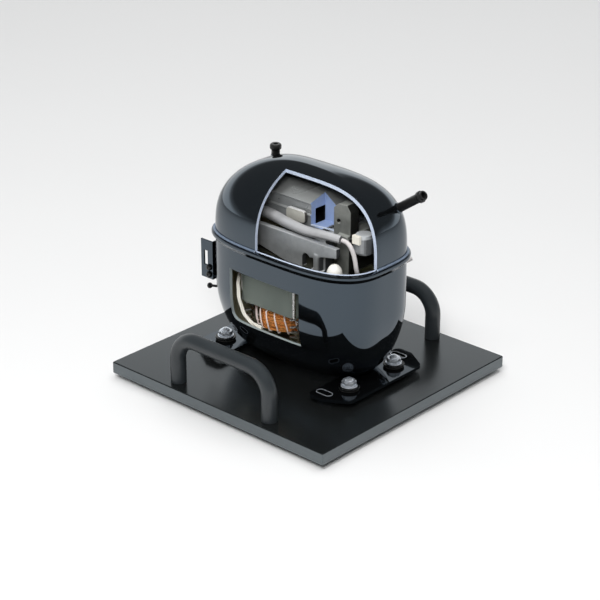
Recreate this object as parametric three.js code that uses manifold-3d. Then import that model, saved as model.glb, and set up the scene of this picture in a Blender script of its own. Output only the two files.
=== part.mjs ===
// Cutaway hermetic reciprocating compressor on a square demonstration board.
// Millimetres, +Z up, +X along the long axis of the shell, -Y towards the two cutaway windows.
// Origin: centre of the board, on the plane its rubber feet stand on.
import * as THREE from 'three';
import { mergeVertices } from 'three/addons/utils/BufferGeometryUtils.js';
import Module from 'manifold-3d';

// ---------------------------------------------------------------- driving dimensions (mm)
const GAP = 0.3; // clearance between pieces that rest on or pass through each other

const BOARD = { x: 294, y: 286, t: 13, chamfer: 0.8 };
const FOOT = { r: 9, h: 5, inset: 24 };
const BOARD_TOP = FOOT.h + BOARD.t;

const HANDLE = { span: 127, y: 127.5, height: 52, r: 8.2, bend: 26 };

// shell: plan is a superellipse, the dome is fuller towards +X
const SHELL = {
  cx: 1.5,
  a: 103.5,
  b: 62.5,
  n: 3.2,
  wall: 3.5,
  bottom: BOARD_TOP + 8.6,
  seam: 155,
  lowerCorner: 70,
  lowerTuck: 36,
  lowerN: 2.6,
};
const RIM = { out: 3.6, t: 4.2 };
const DOME = { h: 80, right: [3.14, 2.9], left: [2.7, 2.6], front: [2.94, 1.35], back: [2.6, 2.1] };
const DOME_CUT = { x: -16, y: -16.4 };
const SIDE_CUT = { x0: -55, x1: 42, z0: 67, z1: 125, corner: 9 };

// foot plates and their fixings
const MOUNT = { x: 86.5, y: 35 };
const PLATE = { z: BOARD_TOP + 5, t: 3, x0: 62, x1: 107, y: 71, chamfer: [26, 18] };
const PLATE_SLOT = { x: 74, y: 58, length: 18, width: 8 };
const GROMMET = { r: 10.5, neck: 6.5, bore: 4.6 };
const WASHER = { r: 11, bore: 4.4, t: 1.6 };
const BOLT = { r: 4, flange: 8.6, across: 13, head: 6, embed: 9 };

// running gear
const CRANK_X = -16;
const THROW = 8;
const BORE_Z = 159;
const BORE_R = 13;
const SHAFT_R = 7.6;
const DECK = { z0: 136, z1: 145 };
const STATOR = { x: 39, y: 47, z0: 86, z1: 115.4, corner: 9, bore: 29 };
const ROTOR_R = 28.4;
const YOKE = { z0: 151.5, z1: 166, halfX: 12, halfY: 21, slotX: 7.3, slotY: 17 };
const SLIDE = { x: 7, y: 8.4 };
const PISTON = { rear: 36, face: 60 };
const BARREL = { x0: 22, x1: 53, r: 17 };
const VALVE_PLATE = { x0: 53.3, x1: 56.3 };
const HEAD = { x0: 56.6, x1: 73, y: 22, z0: 139, z1: 182 };
const VALVE_COVER = { x0: 49, x1: 71, y0: -17.5, y1: -5, z1: 213.5, port: { x: 55.5, z: 194, r: 2.4 } };
const HEAD_BOLT = { y: 17.5, z: [143.5, 174.5], r: 2.2, head: 4.2 };

const COLOURS = {
  board: ['#1b1c1e', 0.3, 0],
  rubber: ['#121212', 0.85, 0],
  handle: ['#222426', 0.55, 0],
  shell: ['#0c0d0e', 0.12, 0],
  zinc: ['#c9cdd2', 0.3, 0.9],
  steel: ['#8d9296', 0.4, 0.9],
  cast: ['#83857f', 0.6, 0.7],
  lamination: ['#76796f', 0.6, 0.5],
  copper: ['#b4571c', 0.35, 0.9],
  white: ['#ece9e0', 0.5, 0],
  beige: ['#cdbf9d', 0.6, 0],
  blue: ['#8ea3c8', 0.6, 0],
  tube: ['#8a8c84', 0.45, 0.8],
};

// ---------------------------------------------------------------- geometry helpers
const wasm = await Module();
wasm.setup();

function toManifold(geometry) {
  const bare = geometry.clone();
  bare.deleteAttribute('normal');
  bare.deleteAttribute('uv');
  const merged = mergeVertices(bare, 1e-4);
  const mesh = new wasm.Mesh({
    numProp: 3,
    vertProperties: new Float32Array(merged.attributes.position.array),
    triVerts: new Uint32Array(merged.index.array),
  });
  return new wasm.Manifold(mesh);
}

function toGeometry(manifold) {
  const mesh = manifold.getMesh();
  const geometry = new THREE.BufferGeometry();
  geometry.setAttribute('position', new THREE.BufferAttribute(new Float32Array(mesh.vertProperties), 3));
  geometry.setIndex(new THREE.BufferAttribute(new Uint32Array(mesh.triVerts), 1));
  geometry.computeVertexNormals();
  return geometry;
}

const union = (first, ...rest) => toGeometry(rest.reduce((m, g) => m.add(toManifold(g)), toManifold(first)));
const common = (first, second) => toGeometry(toManifold(first).intersect(toManifold(second)));
const cut = (first, ...rest) => toGeometry(rest.reduce((m, g) => m.subtract(toManifold(g)), toManifold(first)));

function box(x0, x1, y0, y1, z0, z1) {
  return new THREE.BoxGeometry(x1 - x0, y1 - y0, z1 - z0)
    .translate((x0 + x1) / 2, (y0 + y1) / 2, (z0 + z1) / 2);
}

function cylinder(x, y, z0, z1, r, segments = 24, rTop = r) {
  return new THREE.CylinderGeometry(rTop, r, z1 - z0, segments)
    .rotateX(Math.PI / 2)
    .translate(x, y, (z0 + z1) / 2);
}

function cylinderX(x0, x1, y, z, r, segments = 28) {
  return new THREE.CylinderGeometry(r, r, x1 - x0, segments)
    .rotateZ(-Math.PI / 2)
    .translate((x0 + x1) / 2, y, z);
}

function cylinderY(x, y0, y1, z, r, segments = 20) {
  return new THREE.CylinderGeometry(r, r, y1 - y0, segments).translate(x, (y0 + y1) / 2, z);
}

// a turned part about a vertical axis; the profile is [radius, z] and starts and ends on the axis
function turned(x, y, profile, segments = 24) {
  const points = profile.map(([r, z]) => new THREE.Vector2(r, z));
  return new THREE.LatheGeometry(points, segments).rotateX(Math.PI / 2).translate(x, y, 0);
}

// a turned part about an arbitrary direction, its profile [radius, distance] starting at a point
function turnedAlong(origin, direction, profile, segments = 16) {
  const points = profile.map(([r, d]) => new THREE.Vector2(r, d));
  const turn = new THREE.Quaternion().setFromUnitVectors(new THREE.Vector3(0, 1, 0), direction.clone().normalize());
  return new THREE.LatheGeometry(points, segments).applyQuaternion(turn).translate(origin.x, origin.y, origin.z);
}

function roundedRect(halfX, halfY, r, steps = 5) {
  const shape = new THREE.Shape();
  const corners = [[1, -1, -0.5], [1, 1, 0], [-1, 1, 0.5], [-1, -1, 1]];
  const points = corners.flatMap(([sx, sy, start]) =>
    Array.from({ length: steps + 1 }, (_, i) => {
      const angle = (start + (0.5 * i) / steps) * Math.PI;
      return [sx * (halfX - r) + r * Math.cos(angle), sy * (halfY - r) + r * Math.sin(angle)];
    }));
  shape.setFromPoints(points.map(([x, y]) => new THREE.Vector2(x, y)));
  return shape;
}

function slotShape(halfLength, r, steps = 6) {
  return roundedRect(halfLength, r, r - 0.001, steps);
}

function extrudeZ(shape, z0, z1) {
  return new THREE.ExtrudeGeometry(shape, { depth: z1 - z0, bevelEnabled: false }).translate(0, 0, z0);
}

function polygon(points) {
  return new THREE.Shape(points.map(([x, y]) => new THREE.Vector2(x, y)));
}

// a shape drawn in X and Z, extruded from y0 to y1
function extrudeY(shape, y0, y1) {
  return new THREE.ExtrudeGeometry(shape, { depth: y1 - y0, bevelEnabled: false })
    .rotateX(Math.PI / 2)
    .translate(0, y1, 0);
}

function circleShape(r, sides) {
  const points = Array.from({ length: sides }, (_, i) => {
    const angle = (2 * Math.PI * i) / sides;
    return new THREE.Vector2(r * Math.cos(angle), r * Math.sin(angle));
  });
  return new THREE.Shape(points);
}

// a round bar or tube swept along a smooth curve through the given points
function swept(points, r, steps, sides = 8, closed = false) {
  const curve = new THREE.CatmullRomCurve3(points.map((p) => new THREE.Vector3(...p)), closed, 'centripetal');
  return new THREE.ExtrudeGeometry(circleShape(r, sides), { steps, extrudePath: curve, bevelEnabled: false });
}

// closed solid through a stack of rings that all have the same number of points
function loft(rings) {
  const count = rings[0].length;
  const positions = rings.flat(2);
  const index = [];
  for (let level = 0; level + 1 < rings.length; level += 1) {
    for (let i = 0; i < count; i += 1) {
      const a = level * count + i;
      const b = level * count + ((i + 1) % count);
      index.push(a, b, b + count, a, b + count, a + count);
    }
  }
  const last = (rings.length - 1) * count;
  for (let i = 1; i + 1 < count; i += 1) {
    index.push(0, i + 1, i);
    index.push(last, last + i, last + i + 1);
  }
  const geometry = new THREE.BufferGeometry();
  geometry.setAttribute('position', new THREE.Float32BufferAttribute(positions, 3));
  geometry.setIndex(index);
  return geometry;
}

// ---------------------------------------------------------------- scene bookkeeping
const group = new THREE.Group();
group.name = 'hermetic_reciprocating_compressor';

function add(name, geometry, finish) {
  const [color, roughness, metalness] = COLOURS[finish];
  const mesh = new THREE.Mesh(geometry, new THREE.MeshStandardMaterial({ color, roughness, metalness }));
  mesh.name = name;
  group.add(mesh);
}

const SIDES = [['left', -1], ['right', 1]];
const DEPTHS = [['front', -1], ['back', 1]];
const corners = DEPTHS.flatMap(([depth, sy]) => SIDES.map(([side, sx]) => ({ tag: `${depth}_${side}`, sx, sy })));

// ---------------------------------------------------------------- demonstration board
const boardPlan = (inset) => roundedRect(BOARD.x / 2 - inset, BOARD.y / 2 - inset, 1.5, 2);
const boardRing = (inset, z) => boardPlan(inset).getPoints().slice(0, 12).map((p) => [p.x, p.y, z]);
const slab = loft([
  boardRing(BOARD.chamfer, FOOT.h),
  boardRing(0, FOOT.h + BOARD.chamfer),
  boardRing(0, BOARD_TOP - BOARD.chamfer),
  boardRing(BOARD.chamfer, BOARD_TOP),
]);
const boltHoles = corners.map(({ sx, sy }) =>
  cylinder(sx * MOUNT.x, sy * MOUNT.y, BOARD_TOP - BOLT.embed - GAP, BOARD_TOP + 1, BOLT.r + GAP, 12));
add('base_board', cut(slab, ...boltHoles), 'board');

for (const { tag, sx, sy } of corners) {
  const x = sx * (BOARD.x / 2 - FOOT.inset);
  const y = sy * (BOARD.y / 2 - FOOT.inset);
  const profile = [[0, 0], [FOOT.r - 1, 0], [FOOT.r, 1], [FOOT.r, FOOT.h - GAP], [0, FOOT.h - GAP]];
  add(`board_foot_${tag}`, turned(x, y, profile, 14), 'rubber');
}

// ---------------------------------------------------------------- carrying handles
function handlePath(y) {
  const half = HANDLE.span / 2;
  const top = BOARD_TOP + HANDLE.height;
  const base = BOARD_TOP + GAP;
  const steps = 6;
  const bend = Array.from({ length: steps + 1 }, (_, i) => {
    const angle = (Math.PI / 2) * (i / steps);
    return [-half + HANDLE.bend * (1 - Math.cos(angle)), top - HANDLE.bend * (1 - Math.sin(angle))];
  });
  const left = [[-half, base], [-half, (base + top - HANDLE.bend) / 2], ...bend];
  const right = left.map(([x, z]) => [-x, z]).reverse();
  return [...left, ...right].map(([x, z]) => new THREE.Vector3(x, y, z));
}

// a bar swept along straight segments, every ring square to the path
function barAlong(path, r, sides) {
  const side = new THREE.Vector3(0, 1, 0);
  const rings = path.map((point, i) => {
    const before = path[Math.max(0, i - 1)];
    const after = path[Math.min(path.length - 1, i + 1)];
    const along = after.clone().sub(before).normalize();
    const up = side.clone().cross(along);
    return Array.from({ length: sides }, (_, k) => {
      const angle = (2 * Math.PI * k) / sides;
      const offset = side.clone().multiplyScalar(r * Math.sin(angle)).addScaledVector(up, r * Math.cos(angle));
      return point.clone().add(offset).toArray();
    });
  });
  return loft(rings);
}

for (const [depth, sy] of DEPTHS) {
  add(`carry_handle_${depth}`, barAlong(handlePath(sy * HANDLE.y), HANDLE.r, 12), 'handle');
}

// ---------------------------------------------------------------- shell
const PLAN_STEPS = 40;
const power = (value, exponent) => Math.sign(value) * Math.abs(value) ** exponent;

function planRing(z, left, right, front, back, n = SHELL.n) {
  return Array.from({ length: PLAN_STEPS }, (_, i) => {
    const angle = (2 * Math.PI * i) / PLAN_STEPS;
    const c = Math.cos(angle);
    const s = Math.sin(angle);
    const a = c > 0 ? right : left;
    const b = s > 0 ? back : front;
    return [SHELL.cx + a * power(c, 2 / n), b * power(s, 2 / n), z];
  });
}

const taper = (t, [p, q]) => Math.max(1e-4, 1 - t ** p) ** (1 / q);

function domeSolid(inset, z0) {
  const a = SHELL.a - inset;
  const b = SHELL.b - inset;
  const height = DOME.h - inset;
  const levels = 9;
  const rings = [planRing(z0, a, a, b, b)];
  for (let i = 0; i <= levels; i += 1) {
    const t = 0.995 * Math.sin((Math.PI / 2) * (i / levels));
    rings.push(planRing(SHELL.seam + GAP + 0.01 + t * height,
      a * taper(t, DOME.left), a * taper(t, DOME.right), b * taper(t, DOME.front), b * taper(t, DOME.back)));
  }
  return loft(rings);
}

function lowerSolid(inset, z0, z1) {
  const rings = [];
  const levels = 7;
  for (let i = 0; i <= levels; i += 1) {
    const z = z0 + (SHELL.bottom + SHELL.lowerCorner - z0) * (1 - Math.cos((Math.PI / 2) * (i / levels)));
    const depth = Math.min(1, Math.max(0, (SHELL.bottom + SHELL.lowerCorner - z) / SHELL.lowerCorner));
    const tuck = inset + SHELL.lowerTuck * (1 - Math.sqrt(1 - 0.97 * depth * depth)) + (i === 0 ? 4 : 0);
    const n = SHELL.n + (SHELL.lowerN - SHELL.n) * depth;
    rings.push(planRing(z, SHELL.a - tuck, SHELL.a - tuck, SHELL.b - tuck, SHELL.b - tuck, n));
  }
  rings.push(planRing(z1, SHELL.a - inset, SHELL.a - inset, SHELL.b - inset, SHELL.b - inset));
  return loft(rings);
}

const wedge = box(DOME_CUT.x, 140, -100, DOME_CUT.y, SHELL.seam - 0.1, 260);
// suction tube: its axis leaves the dome upwards and towards +X; lengths are measured from the inner end
const SUCTION = { r: 4.8, bore: 3.4, boreFrom: 14, bead: 6, length: 45 };
const suctionAxis = {
  start: new THREE.Vector3(87.124, 30, 200.004),
  along: new THREE.Vector3(0.819, 0, 0.574).normalize(),
};
const suctionHole = turnedAlong(
  suctionAxis.start.clone().addScaledVector(suctionAxis.along, -8), suctionAxis.along,
  [[0, 0], [SUCTION.r + GAP, 0], [SUCTION.r + GAP, 40], [0, 40]], 16);
const CHARGE_TUBE = { x: -64, y: 20, r: 4.5, z0: 190, z1: 236 };
const chargeHole = cylinder(CHARGE_TUBE.x, CHARGE_TUBE.y, CHARGE_TUBE.z0 - 5, 250, CHARGE_TUBE.r + GAP, 16);
const seatZ = SHELL.seam + GAP;
const dome = cut(domeSolid(0, seatZ), domeSolid(SHELL.wall, seatZ - 1), wedge, suctionHole, chargeHole);
add('shell_upper', dome, 'shell');

function rimRing(z, out) {
  return planRing(z, SHELL.a + out, SHELL.a + out, SHELL.b + out, SHELL.b + out);
}
const rim = loft([
  rimRing(SHELL.seam - RIM.t - 1.5, 0),
  rimRing(SHELL.seam - RIM.t, RIM.out),
  rimRing(SHELL.seam - 0.8, RIM.out),
  rimRing(SHELL.seam, RIM.out - 0.8),
]);
const sideWindow = extrudeY(polygon([
  [SIDE_CUT.x0, SIDE_CUT.z1],
  [SIDE_CUT.x0, SIDE_CUT.z0 + SIDE_CUT.corner],
  ...[1, 2, 3, 4].map((i) => {
    const angle = Math.PI + (Math.PI / 2) * (i / 5);
    return [SIDE_CUT.x0 + SIDE_CUT.corner * (1 + Math.cos(angle)),
      SIDE_CUT.z0 + SIDE_CUT.corner * (1 + Math.sin(angle))];
  }),
  [SIDE_CUT.x0 + SIDE_CUT.corner, SIDE_CUT.z0],
  [SIDE_CUT.x1, SIDE_CUT.z0],
  [SIDE_CUT.x1, SIDE_CUT.z1],
].reverse()), -90, -30);
const SPRINGS = { dx: 32, dy: 39, z0: 48.5, z1: STATOR.z0 - GAP, r: 4.2, wire: 0.9, turns: 5 };
const springSeats = corners.map(({ sx, sy }) => common(
  cylinder(CRANK_X + sx * SPRINGS.dx, sy * SPRINGS.dy, 33, SPRINGS.z0 - GAP, 6, 12),
  lowerSolid(1, SHELL.bottom + 1, SHELL.seam)));
const TERMINAL = { y: 0, z: 108, r: 15 };
const terminalHole = cylinderX(-112, -90, TERMINAL.y, TERMINAL.z, TERMINAL.r + GAP, 24);
const DISCHARGE = { x: 60, z: 120, r: 2.6, tube: 2.2 };
const dischargeHole = cylinderY(DISCHARGE.x, 50, 70, DISCHARGE.z, DISCHARGE.r + GAP, 16);
const bowl = cut(
  union(lowerSolid(0, SHELL.bottom, SHELL.seam - 2), rim),
  lowerSolid(SHELL.wall, SHELL.bottom + SHELL.wall, SHELL.seam + 1),
  sideWindow, terminalHole, dischargeHole);
add('shell_lower', union(bowl, ...springSeats), 'shell');

// ---------------------------------------------------------------- foot plates and fixings
function footPlate(sx) {
  const { x0, x1, y, chamfer: [cx, cy] } = PLATE;
  const outline = [
    [x0 + 4, -y], [x1 - cx, -y], [x1 - 3, -y + cy - 4], [x1, -y + cy],
    [x1, y - cy], [x1 - 3, y - cy + 4], [x1 - cx, y], [x0 + 4, y], [x0, y - 4], [x0, -y + 4],
  ].map(([px, py]) => [sx * px, py]);
  const plate = extrudeZ(polygon(sx > 0 ? outline : outline.reverse()), PLATE.z, PLATE.z + PLATE.t);
  const holes = DEPTHS.map(([, sy]) =>
    cylinder(sx * MOUNT.x, sy * MOUNT.y, PLATE.z - 1, PLATE.z + PLATE.t + 1, GROMMET.neck + GAP, 14));
  const slots = DEPTHS.map(([, sy]) =>
    extrudeZ(slotShape(PLATE_SLOT.length / 2, PLATE_SLOT.width / 2), PLATE.z - 1, PLATE.z + PLATE.t + 1)
      .translate(sx * PLATE_SLOT.x, sy * PLATE_SLOT.y, 0));
  return cut(plate, ...holes, ...slots);
}
for (const [side, sx] of SIDES) {
  add(`foot_plate_${side}`, footPlate(sx), 'shell');
}

const grommetTop = PLATE.z + PLATE.t + 1.6;
const washerZ = grommetTop + GAP;
const headZ = washerZ + WASHER.t + GAP;
for (const { tag, sx, sy } of corners) {
  const x = sx * MOUNT.x;
  const y = sy * MOUNT.y;
  const sleeve = [
    [GROMMET.bore, BOARD_TOP + GAP], [GROMMET.r, BOARD_TOP + GAP], [GROMMET.r, PLATE.z - GAP],
    [GROMMET.neck, PLATE.z - GAP], [GROMMET.neck, PLATE.z + PLATE.t + GAP], [GROMMET.r, PLATE.z + PLATE.t + GAP],
    [GROMMET.r - 0.5, grommetTop], [GROMMET.bore, grommetTop], [GROMMET.bore, BOARD_TOP + GAP],
  ];
  add(`grommet_${tag}`, turned(x, y, sleeve, 14), 'rubber');
  const ring = [[WASHER.bore, washerZ], [WASHER.r, washerZ], [WASHER.r, washerZ + WASHER.t],
    [WASHER.bore, washerZ + WASHER.t], [WASHER.bore, washerZ]];
  add(`washer_${tag}`, turned(x, y, ring, 16), 'zinc');
  const shank = turned(x, y, [[0, BOARD_TOP - BOLT.embed], [BOLT.r, BOARD_TOP - BOLT.embed], [BOLT.r, headZ],
    [BOLT.flange, headZ], [BOLT.flange - 0.4, headZ + 1.3], [5, headZ + 1.6], [0, headZ + 1.6]], 14);
  const hexagon = turned(x, y, [[0, headZ + 0.5], [BOLT.across / 1.732, headZ + 0.5],
    [BOLT.across / 1.732, headZ + BOLT.head], [0, headZ + BOLT.head]], 6);
  const crown = turned(x, y, [[0, headZ + 3], [4.6, headZ + 3], [4.6, headZ + BOLT.head + 0.8],
    [2.6, headZ + BOLT.head + 2.6], [0, headZ + BOLT.head + 3.2]], 12);
  add(`mounting_bolt_${tag}`, union(shank, hexagon, crown), 'zinc');
}

// ---------------------------------------------------------------- connection tubes
const beadEnd = SUCTION.length - 4;
add('suction_tube', turnedAlong(suctionAxis.start, suctionAxis.along, [
  [0, 0], [SUCTION.r, 0], [SUCTION.r, beadEnd - 4], [SUCTION.bead, beadEnd - 2.8], [SUCTION.bead, beadEnd],
  [SUCTION.r, beadEnd + 1.2], [SUCTION.r, SUCTION.length], [SUCTION.bore, SUCTION.length],
  [SUCTION.bore, SUCTION.boreFrom], [0, SUCTION.boreFrom]]), 'tube');
const { r: chargeR, z0: chargeZ0, z1: chargeZ1 } = CHARGE_TUBE;
add('process_tube', turned(CHARGE_TUBE.x, CHARGE_TUBE.y, [
  [0, chargeZ0], [chargeR, chargeZ0], [chargeR, chargeZ1 - 6], [chargeR + 1.6, chargeZ1 - 5],
  [chargeR + 1.6, chargeZ1 - 1], [chargeR + 0.6, chargeZ1], [0, chargeZ1]], 16), 'tube');

// ---------------------------------------------------------------- electrical terminal and its bracket
const glass = cylinderX(-106, -99, TERMINAL.y, TERMINAL.z, TERMINAL.r - 0.001, 24);
const pins = [0, 1, 2].map((i) => {
  const angle = Math.PI / 2 + (2 * Math.PI * i) / 3;
  return cylinderX(-117, -90, TERMINAL.y + 7 * Math.cos(angle), TERMINAL.z + 7 * Math.sin(angle), 1.6, 10);
});
add('terminal_feedthrough', union(glass, ...pins), 'steel');

const BRACKET = { x0: -119, x1: -103.4, y: 37, t: 2, z0: 90, z1: 133 };
const sidePlates = DEPTHS.map(([, sy]) => {
  const y = sy * (BRACKET.y - BRACKET.t / 2);
  return box(BRACKET.x0, BRACKET.x1 + 1.5, y - BRACKET.t / 2, y + BRACKET.t / 2, BRACKET.z0, BRACKET.z1);
});
const backPlate = box(BRACKET.x1, BRACKET.x1 + 1.5, -BRACKET.y, BRACKET.y, BRACKET.z0, BRACKET.z1);
const bracketWindow = box(BRACKET.x1 - 2, BRACKET.x1 + 3, -22, 22, BRACKET.z0 + 2.5, BRACKET.z1 - 6);
const bracketSlots = DEPTHS.map(([, sy]) =>
  box(-114.5, -109.5, sy * BRACKET.y - 4, sy * BRACKET.y + 4, BRACKET.z0 + 15, BRACKET.z0 + 31));
const screwSeats = [95, 103].map((z) => cylinderY(-107, -BRACKET.y - 3, -BRACKET.y + 4, z, 1.8 + GAP, 12));
const shellEnd = lowerSolid(-GAP, 60, 150);
add('terminal_bracket',
  cut(union(backPlate, ...sidePlates), bracketWindow, ...bracketSlots, ...screwSeats, shellEnd), 'shell');
[95, 103].forEach((z, i) => {
  add(`bracket_screw_${i + 1}`, turnedAlong(new THREE.Vector3(-107, -BRACKET.y + 3.4, z),
    new THREE.Vector3(0, -1, 0), [[0, 0], [1.8, 0], [1.8, 3.4 + GAP], [3.4, 3.4 + GAP], [3.2, 5], [1.6, 5.8],
      [0, 6]], 12), 'steel');
});
add('earth_stud', union(
  turnedAlong(new THREE.Vector3(-99, -27, 80), new THREE.Vector3(-1, -0.2, -0.15),
    [[0, 0], [1.4, 0], [1.4, 13], [2.6, 13.4], [3.2, 15], [2.6, 16.8], [0, 17.6]], 12)), 'steel');

// ---------------------------------------------------------------- suspension springs
for (const { tag, sx, sy } of corners) {
  const { dx, dy, z0, z1, r, wire, turns } = SPRINGS;
  const x = CRANK_X + sx * dx;
  const y = sy * dy;
  const steps = turns * 8;
  const points = Array.from({ length: steps + 1 }, (_, i) => {
    const angle = (2 * Math.PI * turns * i) / steps;
    return [x + r * Math.cos(angle), y + r * Math.sin(angle), z0 + wire + ((z1 - z0 - 2 * wire) * i) / steps];
  });
  add(`suspension_spring_${tag}`, swept(points, wire, steps, 4), 'steel');
}

// ---------------------------------------------------------------- motor
function statorCore() {
  const body = extrudeZ(roundedRect(STATOR.x, STATOR.y, STATOR.corner, 5), STATOR.z0, STATOR.z1);
  const bore = cylinder(0, 0, STATOR.z0 - 1, STATOR.z1 + 1, STATOR.bore, 40);
  return cut(body, bore).translate(CRANK_X, 0, 0);
}
add('stator_core', statorCore(), 'lamination');

// coil heads: a fat ring bulging over each pole
const WINDING = { midR: 34.5, halfW: 3.9, bulge: 0.9, poles: 4, steps: 40, stretchY: 1.12 };
function coilHead(zStator, z1) {
  const { midR, halfW, steps } = WINDING;
  const profile = [[-0.75, 0], [-1, 0.3], [-0.85, 0.75], [-0.4, 1], [0.4, 1], [0.85, 0.7], [1, 0.3], [0.75, 0]];
  const positions = [];
  for (let i = 0; i < steps; i += 1) {
    const angle = (2 * Math.PI * i) / steps;
    const swell = WINDING.bulge * Math.cos(WINDING.poles * angle);
    for (const [u, v] of profile) {
      const r = midR + u * (halfW + 0.6 * swell) + 0.6 * swell;
      const z = zStator + (z1 - zStator) * v * (1 + 0.03 * swell);
      positions.push(CRANK_X + r * Math.cos(angle), WINDING.stretchY * r * Math.sin(angle), z);
    }
  }
  const count = profile.length;
  const index = [];
  for (let i = 0; i < steps; i += 1) {
    const next = (i + 1) % steps;
    for (let k = 0; k < count; k += 1) {
      const k2 = (k + 1) % count;
      const quad = [i * count + k, next * count + k, next * count + k2, i * count + k2];
      index.push(quad[0], quad[1], quad[2], quad[0], quad[2], quad[3]);
    }
  }
  if (z1 > zStator) {
    index.reverse();
  }
  const geometry = new THREE.BufferGeometry();
  geometry.setAttribute('position', new THREE.Float32BufferAttribute(positions, 3));
  geometry.setIndex(index);
  return geometry;
}
const COIL = { top: STATOR.z1 + 10.5, bottom: STATOR.z0 - 24.5, drop: 3 };
add('winding_top', coilHead(STATOR.z1 + GAP, COIL.top), 'copper');
add('winding_bottom', coilHead(STATOR.z0 - COIL.drop, COIL.bottom), 'copper');

// white cord laced round the lower coil head
const LACING = { loops: 13, r: 0.7, mid: 34.8, halfW: 6.9, zMid: 72, halfH: 12.8 };
const lacingPoints = Array.from({ length: LACING.loops * 8 }, (_, i) => {
  const around = (2 * Math.PI * i) / (LACING.loops * 8);
  const turn = (2 * Math.PI * i) / 8;
  const square = Math.max(Math.abs(Math.cos(turn)), Math.abs(Math.sin(turn)));
  const r = LACING.mid + (LACING.halfW * Math.cos(turn)) / square;
  return [CRANK_X + r * Math.cos(around), WINDING.stretchY * r * Math.sin(around),
    LACING.zMid + (LACING.halfH * Math.sin(turn)) / square];
});
add('winding_lacing', swept(lacingPoints, LACING.r, LACING.loops * 8, 4, true), 'white');

// insulated leads from the lower coil head up to the terminal
const LEAD_PATH = [
  [-22, -50.3, 64.5], [-30, -50.6, 66], [-38, -51, 69.5], [-46, -51, 78.5], [-52, -49.7, 92], [-56.5, -45.5, 103],
  [-65, -34, 109], [-75, -18, 109], [-84, -7, 105.5], [-88.4, -6, 104.5],
];
add('motor_leads', swept(LEAD_PATH, 2.1, 26, 6), 'white');

add('rotor_core', cut(
  turned(CRANK_X, 0, [[0, STATOR.z0 - 2], [22, STATOR.z0 - 2], [22, STATOR.z0 - 5], [26.5, STATOR.z0 - 5],
    [26.5, STATOR.z0 - 1], [ROTOR_R, STATOR.z0 - 1], [ROTOR_R, STATOR.z1 + 1], [26.5, STATOR.z1 + 1],
    [26.5, STATOR.z1 + 4], [22, STATOR.z1 + 4], [22, STATOR.z1 + 1], [0, STATOR.z1 + 1]], 24),
  cylinder(CRANK_X, 0, 60, 130, SHAFT_R + GAP, 20)), 'lamination');

// ---------------------------------------------------------------- crankshaft train, drawn at top dead centre
const pinX = CRANK_X + THROW;
const FLANGE = { z0: DECK.z1 + GAP, z1: 150.6, r: 17 };
const shaft = turned(CRANK_X, 0, [[0, 58], [SHAFT_R - 1, 58], [SHAFT_R, 59.5], [SHAFT_R, FLANGE.z0 + 1],
  [0, FLANGE.z0 + 1]], 24);
const flange = cut(cylinder(CRANK_X, 0, FLANGE.z0, FLANGE.z1, FLANGE.r, 32),
  box(CRANK_X + 13.5, CRANK_X + 30, -20, 20, FLANGE.z0 - 1, FLANGE.z1 + 1));
const crankPin = cylinder(pinX, 0, FLANGE.z1 - 1, YOKE.z1 - 0.6, 4.5, 20);
add('crankshaft', cut(union(shaft, flange, crankPin), cylinder(CRANK_X, 0, 57, 70, 3.2 + GAP, 16)), 'steel');
add('oil_pickup', turned(CRANK_X, 0, [[0, 36], [2, 36], [2.6, 37], [5.2, 57.6], [3.2, 57.6], [3.2, 69],
  [0, 69]], 16), 'steel');

add('slide_block', cut(
  box(pinX - SLIDE.x, pinX + SLIDE.x, -SLIDE.y, SLIDE.y, YOKE.z0, YOKE.z1),
  cylinder(pinX, 0, YOKE.z0 - 1, YOKE.z1 + 1, 4.5 + GAP, 20)), 'steel');
add('scotch_yoke', union(
  cut(box(pinX - YOKE.halfX, pinX + YOKE.halfX, -YOKE.halfY, YOKE.halfY, YOKE.z0, YOKE.z1),
    box(pinX - SLIDE.x - GAP, pinX + SLIDE.x + GAP, -YOKE.slotY, YOKE.slotY, YOKE.z0 - 1, YOKE.z1 + 1)),
  cylinderX(pinX + YOKE.halfX - 1, pinX + PISTON.rear + 1, 0, BORE_Z, 6, 16)), 'steel');
add('yoke_cap', turned(pinX, 0, [[0, YOKE.z1 + GAP], [11, YOKE.z1 + GAP], [11, YOKE.z1 + 1.6],
  [10, YOKE.z1 + 2.2], [0, YOKE.z1 + 2.2]], 24), 'steel');
const pistonBody = turnedAlong(new THREE.Vector3(pinX + PISTON.rear, 0, BORE_Z), new THREE.Vector3(1, 0, 0), [
  [0, 0], [BORE_R - GAP, 0], [BORE_R - GAP, 16], [BORE_R - 1, 16], [BORE_R - 1, 17.6], [BORE_R - GAP, 17.6],
  [BORE_R - GAP, PISTON.face - PISTON.rear], [0, PISTON.face - PISTON.rear]], 28);
add('piston', cut(pistonBody, cylinderX(pinX + 30, pinX + PISTON.rear + 1 + GAP, 0, BORE_Z, 6 + GAP, 16)), 'steel');

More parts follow.
